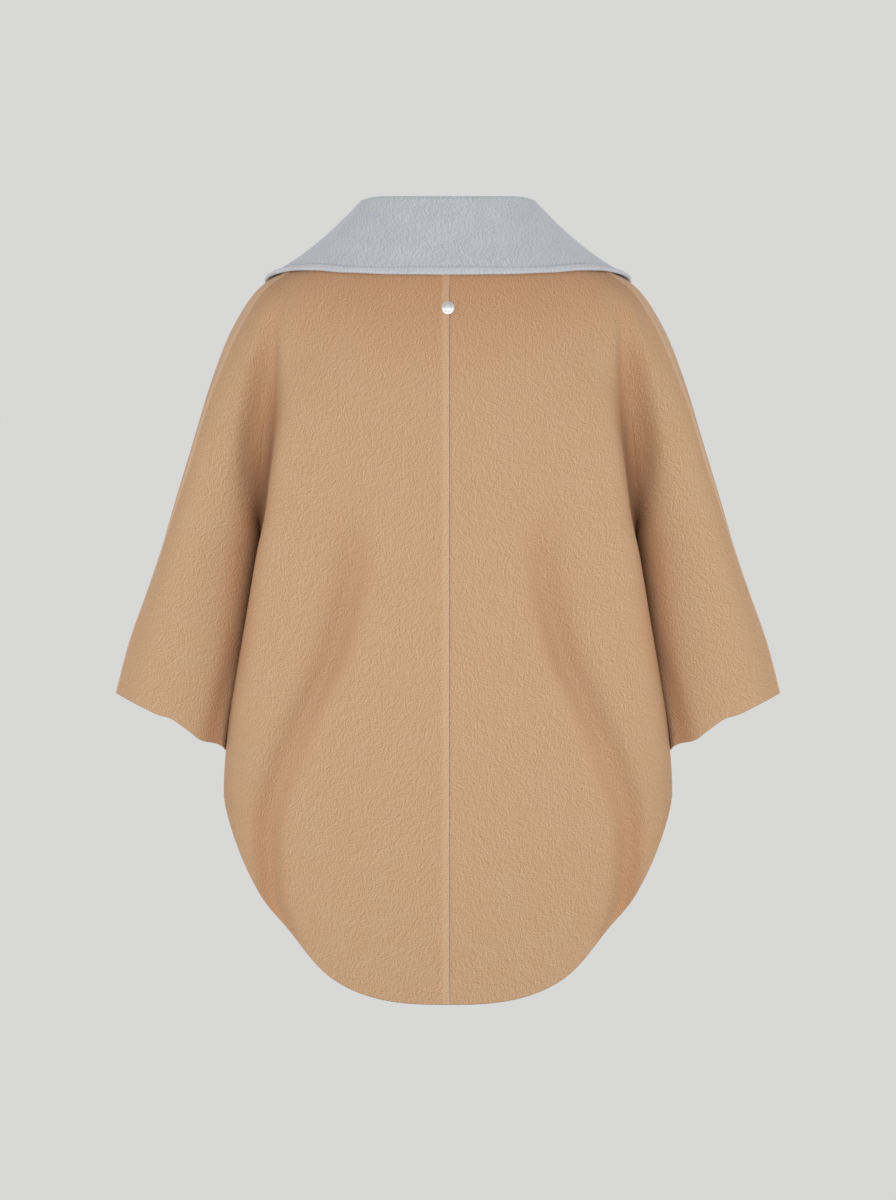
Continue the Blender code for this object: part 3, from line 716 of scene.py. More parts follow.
@dataclass(frozen=True)
class WoolFinish:
    """Brushed and felted wool: short curly naps that lie in drifting directions.

    nap is a curl's width and length, raised its bump, and slant and fan its direction and how far the
    other two layers turn from it. lie is a small step across the cloth: where the nap falls away towards
    it each curl is painted lighter, and darker where it rises, between deep and colour, as painted light
    and shade. cast tints the mottle, shade is the painted shade in the creases, on the sleeves beside the
    body and below the collar, and also darkens the stitches' pricks, pale paints the pressed cloth and a
    painted highlight on the front of the shoulder, and warm and cool the fibres.
    """

    name: str
    colour: Triple
    deep: Triple
    cast: Triple
    nap: Pair = (1.6, 5.4)
    curl: float = 4.0
    drift: float = 18.0
    bent: float = 0.3
    patch: float = 9.0
    patch_span: Pair = (0.50, 0.58)
    raised: float = 0.66
    height: float = 0.7
    grain: float = 0.45
    grain_size: float = 1.3
    slant: float = 0.0
    fan: float = 0.72
    lie: Triple = (0.95, -0.4, 0.0)
    contrast: float = 0.305
    pale: Triple = (0.55, 0.385, 0.262)
    paleness: float = 0.6
    flattened: float = 0.45
    sheen: float = 0.12
    shade: Triple = (0.87, 0.64, 0.53)
    mottle: float = 45.0
    mottle_span: Pair = (0.38, 0.62)
    fibre: float = 1.3
    fibre_span: Pair = (0.35, 0.65)
    warm: Triple = (1.0, 0.96, 0.90)
    cool: Triple = (0.96, 1.0, 1.0)
    prick_turn: float = 2.1
    prick_span: Pair = (-0.2, 0.9)
    prick_depth: float = 0.35
    prick_shade: float = 0.5

    def _strokes(self, k: Sketch, place: object, turn: float, seed: float) -> Socket:
        """Lays one layer of nap, lying about one direction and curling with the drift.

        Args:
            k: The material's sketch.
            place: The place on the flat cloth, in millimetres.
            turn: The layer's direction.
            seed: Keeps it apart from the other layers.

        Returns:
            The layer's height.
        """
        shifted = k.vector("ADD", place, (seed, seed * 0.7, seed * 0.3))
        away = k.vector("SUBTRACT", k.speckle(shifted, self.drift, output="Color"), (0.5, 0.5, 0.5))
        bent = k.vector("ADD", shifted, k.vector("MULTIPLY", away, (self.curl * 2,) * 3))
        width, length = self.nap
        return k.noise(k.scaled(bent, (1 / width, 1 / length, 1 / length), turn), distortion=self.bent)

    def _relief(self, k: Sketch, place: object) -> Socket:
        """Lays the nap's strokes, which lie one of three ways in patches, over a fine grain.

        Args:
            k: The material's sketch.
            place: The place on the flat cloth, in millimetres.

        Returns:
            The nap's height.
        """
        naps = self._strokes(k, place, self.slant, 3.0)
        for turn, seed in ((self.fan, 47.0), (-self.fan, 91.0)):
            patch = k.speckle(k.vector("ADD", place, (seed, 0.0, 0.0)), self.patch)
            share = k.ramp(patch, *self.patch_span)
            other = self._strokes(k, place, self.slant + turn, seed)
            kept = k.math("MULTIPLY", naps, k.math("SUBTRACT", 1.0, share))
            naps = k.math("ADD", kept, k.math("MULTIPLY", other, share))
        grain = k.speckle(place, self.grain_size)
        return k.math("ADD", k.math("MULTIPLY", naps, self.height), k.math("MULTIPLY", grain, self.grain))

    def build(self) -> Material:
        """Makes the material.

        Returns:
            The finished material.
        """
        k = Sketch(self.name)
        chart = k.node("ShaderNodeUVMap", uv_map=PATTERN_MAP).outputs[0]
        place = k.vector("MULTIPLY", chart, (1 / MM,) * 3)
        relief = self._relief(k, place)
        beside = self._relief(k, k.vector("ADD", place, self.lie))
        stitch, pressed, hollow = (
            k.node("ShaderNodeAttribute", attribute_name=mark, attribute_type="GEOMETRY").outputs["Fac"]
            for mark in MARKS
        )
        along = k.node("ShaderNodeSeparateXYZ", {"Vector": place}).outputs["Y"]
        wave = k.math("SINE", k.math("MULTIPLY", along, self.prick_turn))
        pricks = k.math("MULTIPLY", stitch, k.ramp(wave, *self.prick_span))
        height = k.math("MULTIPLY", relief, k.ramp(pressed, 0.0, 1.0, 1.0, self.flattened))
        k.bump(k.math("SUBTRACT", height, k.math("MULTIPLY", pricks, self.prick_depth)), self.raised)
        # Painted light and shade on the nap: where it falls away towards lie the colour is lighter, where it
        # rises darker.
        painted_emboss = k.math("SUBTRACT", relief, beside)
        colour = k.blend(k.ramp(painted_emboss, -self.contrast, self.contrast), self.deep, self.colour)
        fibre = k.ramp(k.speckle(place, self.fibre), *self.fibre_span)
        colour = k.blend(fibre, k.tint(1.0, colour, self.warm), k.tint(1.0, colour, self.cool))
        mottle = k.speckle(place, self.mottle, detail=4.0, rough=0.7)
        colour = k.tint(k.ramp(mottle, *self.mottle_span), colour, self.cast)
        # Painted shade: darker and redder in the creases, beside the body and below the collar.
        colour = k.tint(hollow, colour, self.shade)
        # Pressed cloth is paler, and the same paleness paints a highlight on the front of the shoulder.
        colour = k.blend(k.math("MULTIPLY", pressed, self.paleness), colour, self.pale)
        colour = k.tint(k.math("MULTIPLY", pricks, self.prick_shade), colour, self.shade)
        k.set(Base_Color=colour, Roughness=0.95, Specular_IOR_Level=0.12, Sheen_Weight=self.sheen,
              Sheen_Roughness=0.55, Sheen_Tint=(*self.colour, 1.0))
        return k.material


@dataclass(frozen=True)
class PlainFinish:
    """Horn, thread or metal with a fine uneven grain, which makes the roughness uneven too."""

    name: str
    colour: Triple
    second: Triple
    roughness: float
    metallic: float = 0.0
    grain: Triple = (400.0, 400.0, 400.0)
    bump: float = 0.05
    colour_span: Pair = (0.35, 0.65)
    rough_span: Pair = (0.3, 0.7)
    smoother: float = 0.06
    rougher: float = 0.08

    def build(self) -> Material:
        """Makes the material.

        Returns:
            The finished material.
        """
        k = Sketch(self.name)
        place = k.node("ShaderNodeTexCoord").outputs["Object"]
        grain = k.noise(k.scaled(place, self.grain), detail=4.0, rough=0.6, distortion=0.6)
        rough = k.ramp(grain, *self.rough_span, self.roughness - self.smoother, self.roughness + self.rougher)
        colour = k.blend(k.ramp(grain, *self.colour_span), self.colour, self.second)
        k.set(Base_Color=colour, Roughness=rough, Metallic=self.metallic)
        k.bump(grain, self.bump)
        return k.material


CAMEL = WoolFinish("camel_wool", (0.512, 0.336, 0.215), (0.373, 0.229, 0.133), (1.0, 0.985, 0.96))
BLUE_GREY = WoolFinish(
    "blue_grey_wool", (0.482, 0.489, 0.514), (0.339, 0.351, 0.378), (0.94, 0.955, 0.985),
    nap=(2.1, 4.6), grain=0.38, slant=-0.5, fan=0.5, contrast=0.27, pale=(0.56, 0.58, 0.595), sheen=0.7,
    mottle=25.0, warm=(1.0, 0.985, 0.96), cool=(0.98, 1.0, 1.0), shade=(0.78, 0.79, 0.80),
)
HORN = PlainFinish("brown_horn", (0.075, 0.038, 0.018), (0.19, 0.112, 0.058), 0.36, grain=(90.0, 260.0, 90.0))
SILVER = PlainFinish(
    "brushed_silver", (0.80, 0.80, 0.79), (0.66, 0.66, 0.66), 0.42, 1.0, (300.0, 2500.0, 300.0), 0.02,
)
THREAD = PlainFinish(
    "camel_thread", (0.33, 0.195, 0.105), (0.47, 0.30, 0.175), 0.8, grain=(2500.0, 900.0, 900.0),
)


# ---- cloth pieces --------------------------------------------------------------------------
@dataclass
class Net:
    """A net of points on the middle of the cloth, row by row, with what each point carries.

    edge is each point's distance from the nearest edge, which sets how the wall thins there, chart
    its place on the flat cloth, marks what the finish shows there by name and extra how much
    thicker than one layer the wall is.
    """

    points: Array
    edge: Array
    chart: Array
    marks: dict[str, Array]
    extra: Array

    def add_to(self, bm: BMesh) -> None:
        """Adds the net as a grid moved into place, with its numbers on its vertices.

        Args:
            bm: The bmesh, which has a layer for each number.
        """
        rows, columns = self.points.shape[:2]
        made = bmesh.ops.create_grid(bm, x_segments=columns - 1, y_segments=rows - 1, size=0.5)["verts"]
        none = np.zeros_like(self.edge)
        layers = [bm.verts.layers.float[name] for name in CARRIED + MARKS]
        values = [self.edge, self.chart[..., 0], self.chart[..., 1], self.extra]
        values += [self.marks.get(mark, none) for mark in MARKS]
        for vert in made:
            column = round((vert.co.x + 0.5) * (columns - 1))
            row = rows - 1 - round((vert.co.y + 0.5) * (rows - 1))
            vert.co = self.points[row, column] * MM
            for layer, value in zip(layers, values):
                vert[layer] = value[row, column]


def placed(name: str, data: bpy.types.ID) -> Object:
    """Puts an object with this data in the scene.

    Args:
        name: The object's name.
        data: Its mesh, camera or light.

    Returns:
        The object.
    """
    made = bpy.data.objects.new(name, data)
    bpy.context.scene.collection.objects.link(made)
    return made


def mesh_of(name: str, bm: BMesh, *materials: Material) -> Mesh:
    """Makes a smooth mesh out of a bmesh.

    Args:
        name: The mesh's name.
        bm: Its shape; it is used up.
        *materials: Its materials.

    Returns:
        The mesh.
    """
    mesh = bpy.data.meshes.new(name)
    bm.to_mesh(mesh)
    bm.free()
    for material in materials:
        mesh.materials.append(material)
    mesh.shade_smooth()
    return mesh


def face_outwards(mesh: Mesh, base: Triple, spread: Triple) -> None:
    """Turns a mesh's faces over if, on the whole, they point the wrong way.

    Args:
        mesh: The mesh.
        base: Which way its faces should point.
        spread: What is added to that, times each face's own place.
    """
    centre, normal = np.zeros(len(mesh.polygons) * 3), np.zeros(len(mesh.polygons) * 3)
    mesh.polygons.foreach_get("center", centre)
    mesh.polygons.foreach_get("normal", normal)
    outwards = np.array(base) + np.array(spread) * centre.reshape(-1, 3)
    if (normal.reshape(-1, 3) * outwards).sum() < 0.0:
        mesh.flip_normals()


def take_numbers(mesh: Mesh) -> dict[str, Array]:
    """Takes a mesh's carried numbers off it, and makes its map of the flat cloth.

    Args:
        mesh: The mesh.

    Returns:
        The numbers of its vertices, by name.
    """
    numbers = {key: np.zeros(len(mesh.vertices), np.float32) for key in CARRIED}
    for key, values in numbers.items():
        mesh.attributes[key].data.foreach_get("value", values)
    corner = np.zeros(len(mesh.loops), np.int32)
    mesh.loops.foreach_get("vertex_index", corner)
    chart = np.stack([numbers["chart_u"], numbers["chart_v"]], -1)[corner] * MM
    mesh.uv_layers.new(name=PATTERN_MAP).uv.foreach_set("vector", chart.ravel())
    for key in numbers:
        mesh.attributes.remove(mesh.attributes[key])
    return numbers


def give_wall(piece: Object, edge: Array, extra: Array, thinnest: float = 0.004,
              nearly: float = 0.0005) -> None:
    """Gives a piece of cloth its thickness, with rounded edges.

    Args:
        piece: The piece, a mesh on the middle of the cloth.
        edge: How far each vertex is from the nearest edge.
        extra: How much thicker than one layer the cloth is there.
        thinnest: The square of the share of the thickness that is left at an edge.
        nearly: How close to one layer's share counts as one layer.
    """
    thickness = CLOTH + extra
    thickest = float(thickness.max())
    inward = np.clip(edge / (thickness / 2), 0.0, 1.0)
    share = np.sqrt(np.clip(1.0 - (1.0 - inward) ** 2, thinnest, 1.0)) * thickness / thickest
    group = piece.vertex_groups.new(name="wall")
    plain = np.abs(share - CLOTH / thickest) < nearly
    group.add(np.flatnonzero(plain).tolist(), CLOTH / thickest, "REPLACE")
    for index in np.flatnonzero(~plain).tolist():
        group.add([index], float(share[index]), "REPLACE")
    wall = piece.modifiers.new("wall", "SOLIDIFY")
    wall.thickness = thickest * MM
    wall.offset = 0.0
    wall.use_quality_normals = True
    wall.vertex_group = "wall"
    wall.material_offset = 1


@dataclass(frozen=True)
class Cut:
    """The size in metres that a piece was cut to on the flat cloth, and its area in square metres."""

    width: float
    length: float
    area: float

    def declare(self, piece: Object, held: str, rests_on: Sequence[str] = ()) -> None:
        """Does nothing; the piece is not declared as a sheet of this cut."""


@dataclass(frozen=True)
class Cloth:
    """Double-faced cloth: the finish of its outer face and of its inner face."""

    outside: Material
    inside: Material

    def piece(self, name: str, nets: Sequence[Net], base: Triple, spread: Triple = (0, 0, 0)) -> Object:
        """Makes a piece of cloth with real thickness and rounded edges.

        Args:
            name: The piece's name.
            nets: Its nets, which share points where they join.
            base: Which way it faces, as face_outwards takes it.
            spread: The same.

        Returns:
            The piece.
        """
        bm = bmesh.new()
        for layer in CARRIED + MARKS:
            bm.verts.layers.float.new(layer)
        for net in nets:
            net.add_to(bm)
        bmesh.ops.remove_doubles(bm, verts=bm.verts, dist=MERGE)
        mesh = mesh_of(name, bm, self.outside, self.inside)
        face_outwards(mesh, base, spread)
        numbers = take_numbers(mesh)
        piece = placed(name, mesh)
        give_wall(piece, numbers["edge"], numbers["extra"])
        return piece


@dataclass
class HalfPanel:
    """One of the four body panels, with its half of a sleeve cut in one with it.

    side is +1 for the wearer's left half and -1 for the right. steps are the usual distances between
    points on a back and on a front, row_stations are where the spacing of the rows is measured on the
    body and on the sleeve, and the samples are how finely. crisp is how much shorter than at the hem
    the wall's rounding is at a seam.
    """

    name: str
    face: Face
    side: int
    form: CoatForm
    steps: Pair = (3.1, 3.45)
    row_stations: Pair = (1.5, 4.0)
    row_samples: tuple[int, int] = (600, 200)
    column_samples: tuple[int, int] = (400, 500)
    sleeve_samples: int = 300
    seam_clearance: float = 0.002
    felled_width: float = 8.3
    felled_rise: float = 0.9
    felled_slope: Pair = (-1.0, 0.4)
    pressed_slope: Pair = (-1.0, 0.5)
    stitch_width: float = 0.9
    centre_press: float = 0.5
    # The overarm strip is pressed paler, and paler than the centre back's as a painted highlight along the
    # shoulder's rim.
    overarm_press: float = 1.0
    crisp: float = 6.0
    closed_gap: float = 0.12
    seam_shift: float = 1.6
    seam_reach: float = 25.0
    back_cut: Cut = Cut(0.42, 0.86, 0.280)
    front_cut: Cut = Cut(0.50, 0.86, 0.367)
    # Painted shade below the collar: how much, and the span down from the neck over which it fades.
    yoke_shade: float = 0.42
    yoke: Pair = (55.0, 200.0)
    # A painted highlight on the front of the shoulder: how far it reaches from the overarm seam, and the span
    # down the sleeve over which it fades.
    painted_sheen_reach: Pair = (14.0, 40.0)
    painted_sheen_fall: Pair = (120.0, 300.0)
    calm_reach: float = 100.0
    calm_lean: float = 0.4
    calm_blend: float = 45.0
    charts_apart: Pair = (500.0, 900.0)

    @property
    def is_back(self) -> bool:
        """Whether this is a back panel."""
        return self.face is Face.BACK

    @property
    def step(self) -> float:
        """The usual distance between points."""
        return self.steps[0 if self.is_back else 1]

    @property
    def hem(self) -> float:
        """The height of the hem in the middle."""
        return self.form.hem_back if self.is_back else self.form.hem_front

    def _middle_of_cloth(self, outer: Array, lift: Array) -> Array:
        """Moves a net from the outer face to the middle of the wall."""
        normal = unit(np.cross(np.gradient(outer, axis=1), np.gradient(outer, axis=0)))
        return outer + normal * (lift - CLOTH / 2)[..., None]

    def _yoke_painted_shade(self, downward: Array) -> Array:
        """How much shade is painted below the collar, at each distance down from the neck."""
        return self.yoke_shade * fading(self.yoke, downward)

    def _fell(self, across: Array, marks: dict[str, Array], press: float) -> Array:
        """Fells a seam.

        Args:
            across: Distance from the seam.
            marks: The panel's marks, which get the stitches and the pressed strip.
            press: How pale the strip is pressed.

        Returns:
            How much thicker the cloth is at each distance.
        """
        beyond = across - self.felled_width
        marks[STITCH] = hump(beyond, self.stitch_width)
        marks[PRESSED_AND_SHEEN] = press * fading(self.pressed_slope, beyond)
        return self.felled_rise * fading(self.felled_slope, beyond)

    def _rows(self) -> tuple[Array, Array, Array]:
        """Spaces the rows of the nets.

        Returns:
            Ring numbers down to the armpit, shares from it to the hem, and rings from it to the cuff.
        """
        form = self.form
        on_body, on_sleeve = self.row_stations
        rings = np.linspace(0.0, form.hem_ring, self.row_samples[0])
        line = form.surface(on_body, rings, Strip.BODY)
        run = lengths_along(line, 0)
        at_armpit = float(np.interp(form.armpit, rings, run))
        at_hem = float(np.interp(self.hem, line[::-1, 2], run[::-1]))
        upper = np.interp(graded(at_armpit, self.step, Fine.START) * at_armpit, run, rings)
        down = graded(at_hem - at_armpit, self.step, Fine.END)
        lower = spaced(lambda v: form.surface(on_sleeve, v, Strip.SLEEVE),
                       (form.armpit, form.cuff_ring, self.row_samples[1]), self.step, Fine.END)
        return upper, down, lower

    def _body_stations(self) -> Array:
        """Spaces the columns of the body strip.

        Returns:
            Their stations; a front's run on past the centre front to its edge.
        """
        if self.is_back:
            span = (Station.CENTRE_BACK, Station.BACK_SIDE, self.column_samples[0])
        else:
            span = (Station.FRONT_SIDE, Station.CENTRE_FRONT + 1, self.column_samples[1])
        return spaced(self._armpit_line, span, self.step, Fine.BOTH)

    def _armpit_line(self, stations: Array) -> Array:
        """Finds points along the armpit's ring.

        Args:
            stations: The stations, which run on past the centre front.

        Returns:
            The points.
        """
        line = self.form.surface(folded(stations), self.form.armpit, Strip.BODY)
        line[stations > Station.CENTRE_FRONT, 0] *= -1.0
        return line

    def _distances(self, outer: Array, above: int, opening_last: bool) -> tuple[Array, Array, Array, Array]:
        """Measures how the points of a strip lie on it.

        Args:
            outer: The strip's points.
            above: How many rows lie above the armpit, where the strips join.
            opening_last: Whether the opening under the arm is at the last column.

        Returns:
            Distances across it, down it, from the opening and from the seam at the other side.
        """
        across, downward = lengths_along(outer, 1), lengths_along(outer, 0)
        opening, far = across, across[:, -1:] - across
        if opening_last:
            opening, far = far, opening
        rise = np.maximum(downward[above - 1] - downward, 0.0)
        joined = np.arange(len(outer))[:, None] < above
        return across, downward, np.where(joined, np.hypot(opening, rise), opening), far

    def _body(self) -> Net:
        """Makes the net of the body strip.

        Returns:
            The net, for the wearer's left side.
        """
        form = self.form
        upper, down, _ = self._rows()
        stations = self._body_stations()
        s = folded(stations)
        below = form.armpit + down[1:, None] * (form.ring_at_hem(s, self.hem) - form.armpit)
        v = np.concatenate([np.repeat(upper[:, None], len(s), 1), below])
        outer, hollow = form.draped(np.broadcast_to(s, v.shape), v, Strip.BODY)
        if self.is_back:
            shift = -self.side * self.seam_shift
            outer[..., 0] += shift * hump(outer[..., 0], self.seam_reach)
            outer[..., 0] = np.maximum(outer[..., 0], shift + self.closed_gap / 2)
        outer[:, stations > Station.CENTRE_FRONT, 0] *= -1.0
        across, downward, from_slit, from_middle = self._distances(outer, len(upper), self.is_back)
        at_middle = from_middle * (self.crisp if self.is_back else 1.0)
        edge = np.minimum.reduce([from_slit * self.crisp, at_middle, downward[-1:] - downward, downward])
        # The hollow mark paints shade into the colour: in the creases and below the collar.
        marks, extra = {PAINTED_SHADE: hollow + self._yoke_painted_shade(downward)}, np.zeros(across.shape)
        if self.is_back and self.side > 0:
            extra = self._fell(from_middle, marks, self.centre_press)
        lap = 0.0 if self.is_back or self.side > 0 else form.lap(stations)
        start = 0.0 if self.is_back else across[:, -1:]
        chart = np.stack([across - start, downward], -1)
        return Net(self._middle_of_cloth(outer, lap + extra / 2), edge, chart, marks, extra)

    def _sleeve(self, body: Net) -> Net:
        """Makes the net of the sleeve strip, which shares the body strip's points down to the armpit.

        Args:
            body: The net of the body strip.

        Returns:
            The net, for the wearer's left side.
        """
        form, is_back = self.form, self.is_back
        upper, _, lower = self._rows()
        above = len(upper)
        v = np.concatenate([upper, lower[1:]])[:, None]
        seam = form.seam_station(v) + (-self.seam_clearance if is_back else self.seam_clearance)
        start, end = (Station.BACK_SIDE, seam) if is_back else (seam, Station.FRONT_SIDE)
        first, last = (np.broadcast_to(column, v.shape)[above - 1, 0] for column in (start, end))
        t = spaced(lambda share: form.surface(first + (last - first) * share, form.armpit, Strip.SLEEVE),
                   (0.0, 1.0, self.sleeve_samples), self.step, Fine.BOTH)
        outer, hollow = form.draped(start + (end - start) * t, v, Strip.SLEEVE)
        across, downward, from_under, from_overarm = self._distances(outer, above, not is_back)
        at_seams = np.minimum(from_under, from_overarm) * self.crisp
        edge = np.minimum.reduce([at_seams, downward[-1:] - downward, downward])
        # The hollow mark paints shade into the colour: in the creases, beside the body and below the collar.
        marks, extra = {PAINTED_SHADE: hollow + self._yoke_painted_shade(downward)}, np.zeros(across.shape)
        if is_back:
            extra = self._fell(from_overarm, marks, self.overarm_press)
        else:
            # A painted highlight, drawn with the pressed mark, on the front of the shoulder beside the
            # overarm seam.
            reach = fading(self.painted_sheen_reach, from_overarm)
            marks[PRESSED_AND_SHEEN] = reach * fading(self.painted_sheen_fall, downward)
        middle = self._middle_of_cloth(outer, extra / 2)
        shared, own = (-1, 0) if is_back else (0, -1)
        middle[:above, own] = body.points[:above, shared]
        chart = self._sleeve_chart(across, downward, body.chart[:above, shared])
        return Net(middle, edge, chart, marks, extra)

    def _sleeve_chart(self, across: Array, downward: Array, join: Array) -> Array:
        """Lays the sleeve's nap beside the body's, and keeps it straight where the strip opens out.

        Args:
            across: Distance across the strip.
            downward: Distance down it.
            join: The body's chart down the column that the strips share.

        Returns:
            The sleeve's chart.
        """
        way, own = (1.0, 0) if self.is_back else (-1.0, -1)
        width, down, count = across[:, -1:], downward[:, own], len(join)
        from_join = across if self.is_back else width - across
        near = np.concatenate([join[:, 0], np.full(len(down) - count, join[-1, 0])])
        far = near + way * width[:, 0]
        above = down[count - 1] - down
        growth = np.diff(far, prepend=far[0])
        calm = (above >= 0.0) & (above < self.calm_reach)
        growth[calm] = way * self.calm_lean * np.diff(down, prepend=down[0])[calm]
        far = far[0] + np.cumsum(growth)
        share = smoothstep((0.0, self.calm_blend), from_join + np.maximum(-above, 0.0)[:, None])
        apart = (far - near)[:, None] - way * width
        chart = np.stack([near[:, None] + way * from_join + share * apart, downward], -1)
        chart[:count, own] = join
        return chart

    def build(self, cloth: Cloth) -> Object:
        """Makes the panel.

        Args:
            cloth: The cloth it is cut from.

        Returns:
            The panel as a closed piece of cloth.
        """
        body = self._body()
        nets = [body, self._sleeve(body)]
        for net in nets:
            net.points[..., 0] *= self.side
            net.chart += np.array(self.charts_apart) * (self.side < 0, not self.is_back)
        piece = cloth.piece(f"{self.name}_cloth", nets, (0.0, 1.0 if self.is_back else -1.0, 0.0))
        (self.back_cut if self.is_back else self.front_cut).declare(piece, "hung")
        return piece


@dataclass
class Collar:
    """The turned-down collar, which stands on the neck seam and lies over the shoulders.

    rows gives, for each station of the neck seam, how high the roll stands above the seam, how far
    it leans out, how low the outer edge hangs, how far from straight down the fall starts, and how
    far the outer edge flares out and stands off the coat.
    """

    form: CoatForm
    rows: Table = (
        (39.7, 3, -44, 14, 0, 2.4),
        (38.7, 3, -43.5, 16, 0, 2.4),
        (36.3, 1.5, -41.5, 26, 0, 2.4),
        (34.8, 1.5, -39.3, 38, 1.2, 2.5),
        (32.5, 2.2, -39.2, 42.6, 2.9, 2.6),
        (31, 1.5, -46.3, 43.5, 8, 4),
        (28, -2, -62, 39.8, 3, 3),
        (24, -4, -85, 38, 1.2, 2.6),
        (22, -3, -112, 28, 0, 2.4),
        (22, -2, -130, 18, 0, 2.4),
        (22, -2, -136, 14, 0, 2.4),
    )
    end: float = 9.92
    samples: int = 800
    roll: float = 4.0
    roll_steps: int = 9
    step: float = 2.2
    stand_length: float = 38.0
    fall_length: float = 110.0
    rings_below_seam: float = 0.1
    rings_by_edge: float = 0.05
    band: float = 8.5
    band_slope: float = 1.6
    band_extra: float = 1.4
    groove: float = 0.3
    groove_inset: float = 0.3
    groove_width: float = 1.2
    stitch_width: float = 1.0
    pressed: float = 0.35
    chart_apart: float = 2000.0
    cut: Cut = Cut(0.62, 0.20, 0.1155)

    def _half(self, s: Array, lapped: bool) -> Array:
        """Lays out half the collar, from the centre back to one front end.

        Args:
            s: The stations of its columns.
            lapped: Whether it stands on the upper front.

        Returns:
            The middle of the cloth, as an array (step, column, xyz).
        """
        form = self.form
        stand, lean, z_edge, splay, flare, off = (monotone(column, s)[:, None] for column in zip(*self.rows))
        up, level = np.array([0.0, 0.0, 1.0]), np.array([1.0, 1.0, 0.0])
        neck, lap = np.zeros_like(s), form.lap(s)[:, None]
        at_seam = form.on_either(form.surface, s, neck)
        rise = unit(at_seam - form.on_either(form.surface, s, neck + self.rings_below_seam))
        normal = unit(np.cross(np.gradient(at_seam, axis=0), -rise))
        seam = at_seam + normal * lap * lapped
        out = unit(normal * level)
        foot = seam - normal * CLOTH / 2 + rise * SEAM_GAP
        centre = seam + out * lean + up * (stand - self.roll)
        v_edge = form.ring_at_height(s, z_edge[:, 0])
        proud = form.on_either(form.outward, s, v_edge)
        upper, edge, lower = (form.on_either(form.surface, s, v_edge + way * self.rings_by_edge)
                              for way in (-1, 0, 1))
        edge = edge + proud * (off + lap)
        along = unit(unit(lower - upper) + proud * np.tan(np.radians(flare)))
        splay = np.radians(splay)
        stand_top = centre - out * self.roll
        roll_end = centre + (out * np.cos(splay) + up * np.sin(splay)) * self.roll
        leave = out * np.sin(splay) - up * np.cos(splay)
        reach = np.linalg.norm(stand_top - foot, axis=1, keepdims=True)
        path = [hermite(foot, rise * reach, stand_top, up * reach, t)
                for t in graded(self.stand_length, self.step, Fine.START)[:-1]]
        for t in np.linspace(0.0, 1.0, self.roll_steps)[:-1]:
            angle = math.pi * (1.0 - t) + splay * t
            path.append(centre + (out * np.cos(angle) + up * np.sin(angle)) * self.roll)
        reach = np.linalg.norm(edge - roll_end, axis=1, keepdims=True)
        path += [hermite(roll_end, leave * reach, edge, along * reach, t)
                 for t in graded(self.fall_length, self.step, Fine.END)]
        return np.stack(path, 0)

    def _edge_line(self, s: Array) -> Array:
        """Points of the coat under the collar's outer edge."""
        v = self.form.ring_at_height(s, monotone([row[2] for row in self.rows], s))
        return self.form.on_either(self.form.surface, s, v)

    def build(self, cloth: Cloth) -> Object:
        """Makes the collar.

        Args:
            cloth: The cloth it is cut from.

        Returns:
            The collar as a closed piece of cloth.
        """
        s = spaced(self._edge_line, (0.0, self.end, self.samples), self.step, Fine.END)
        right, left = self._half(s, True), self._half(s, False)
        right[..., 0] *= -1.0
        middle = np.concatenate([right[:, :0:-1], left], 1)
        across, downward = lengths_along(middle, 1), lengths_along(middle, 0)
        from_outer = downward[-1:] - downward
        from_ends = np.minimum(across, across[:, -1:] - across)
        inset = np.minimum(from_outer, from_ends)
        edge = np.minimum(inset, downward)
        normal = unit(np.cross(np.gradient(middle, axis=1), np.gradient(middle, axis=0)))
        in_band = fading((self.band - self.band_slope, self.band), inset)
        extra = self.band_extra * in_band
        rise = extra / 2 - self.groove * hump(inset - self.band - self.groove_inset, self.groove_width)
        half = across.shape[1] // 2
        chart = np.stack([across - across[:, half : half + 1], downward + self.chart_apart], -1)
        marks = {STITCH: hump(inset - self.band, self.stitch_width), PRESSED_AND_SHEEN: self.pressed * in_band}
        net = Net(middle + normal * rise[..., None], edge, chart, marks, extra)
        piece = cloth.piece("collar_cloth", [net], base=(0.0, 0.0, 0.05), spread=(0.0, 1.0, 0.0))
        self.cut.declare(piece, "folded", ("back_left_cloth", "back_right_cloth"))
        return piece


# ---- buttons and stud ----------------------------------------------------------------------
def turned(bm: BMesh, profile: Sequence[Pair], steps: int, merge: float = 0.001) -> None:
    """Turns a profile about the z axis.

    Args:
        bm: The bmesh that gets the shape.
        profile: Points (radius, height), from axis to axis or from edge to edge.
        steps: How many steps the turn has.
        merge: How close together vertices are made one.
    """
    line = [bm.verts.new((radius, 0.0, height)) for radius, height in profile]
    edges = [bm.edges.new(pair) for pair in zip(line, line[1:])]
    bmesh.ops.spin(bm, geom=line + edges, cent=(0, 0, 0), axis=(0, 0, 1), dvec=(0, 0, 0), angle=math.tau,
                   steps=steps, use_merge=True)
    bmesh.ops.remove_doubles(bm, verts=bm.verts, dist=merge)


def edges_of(verts: Sequence[bmesh.types.BMVert]) -> list[bmesh.types.BMEdge]:
    """The edges that meet these vertices, each once."""
    return list({edge for vert in verts for edge in vert.link_edges})


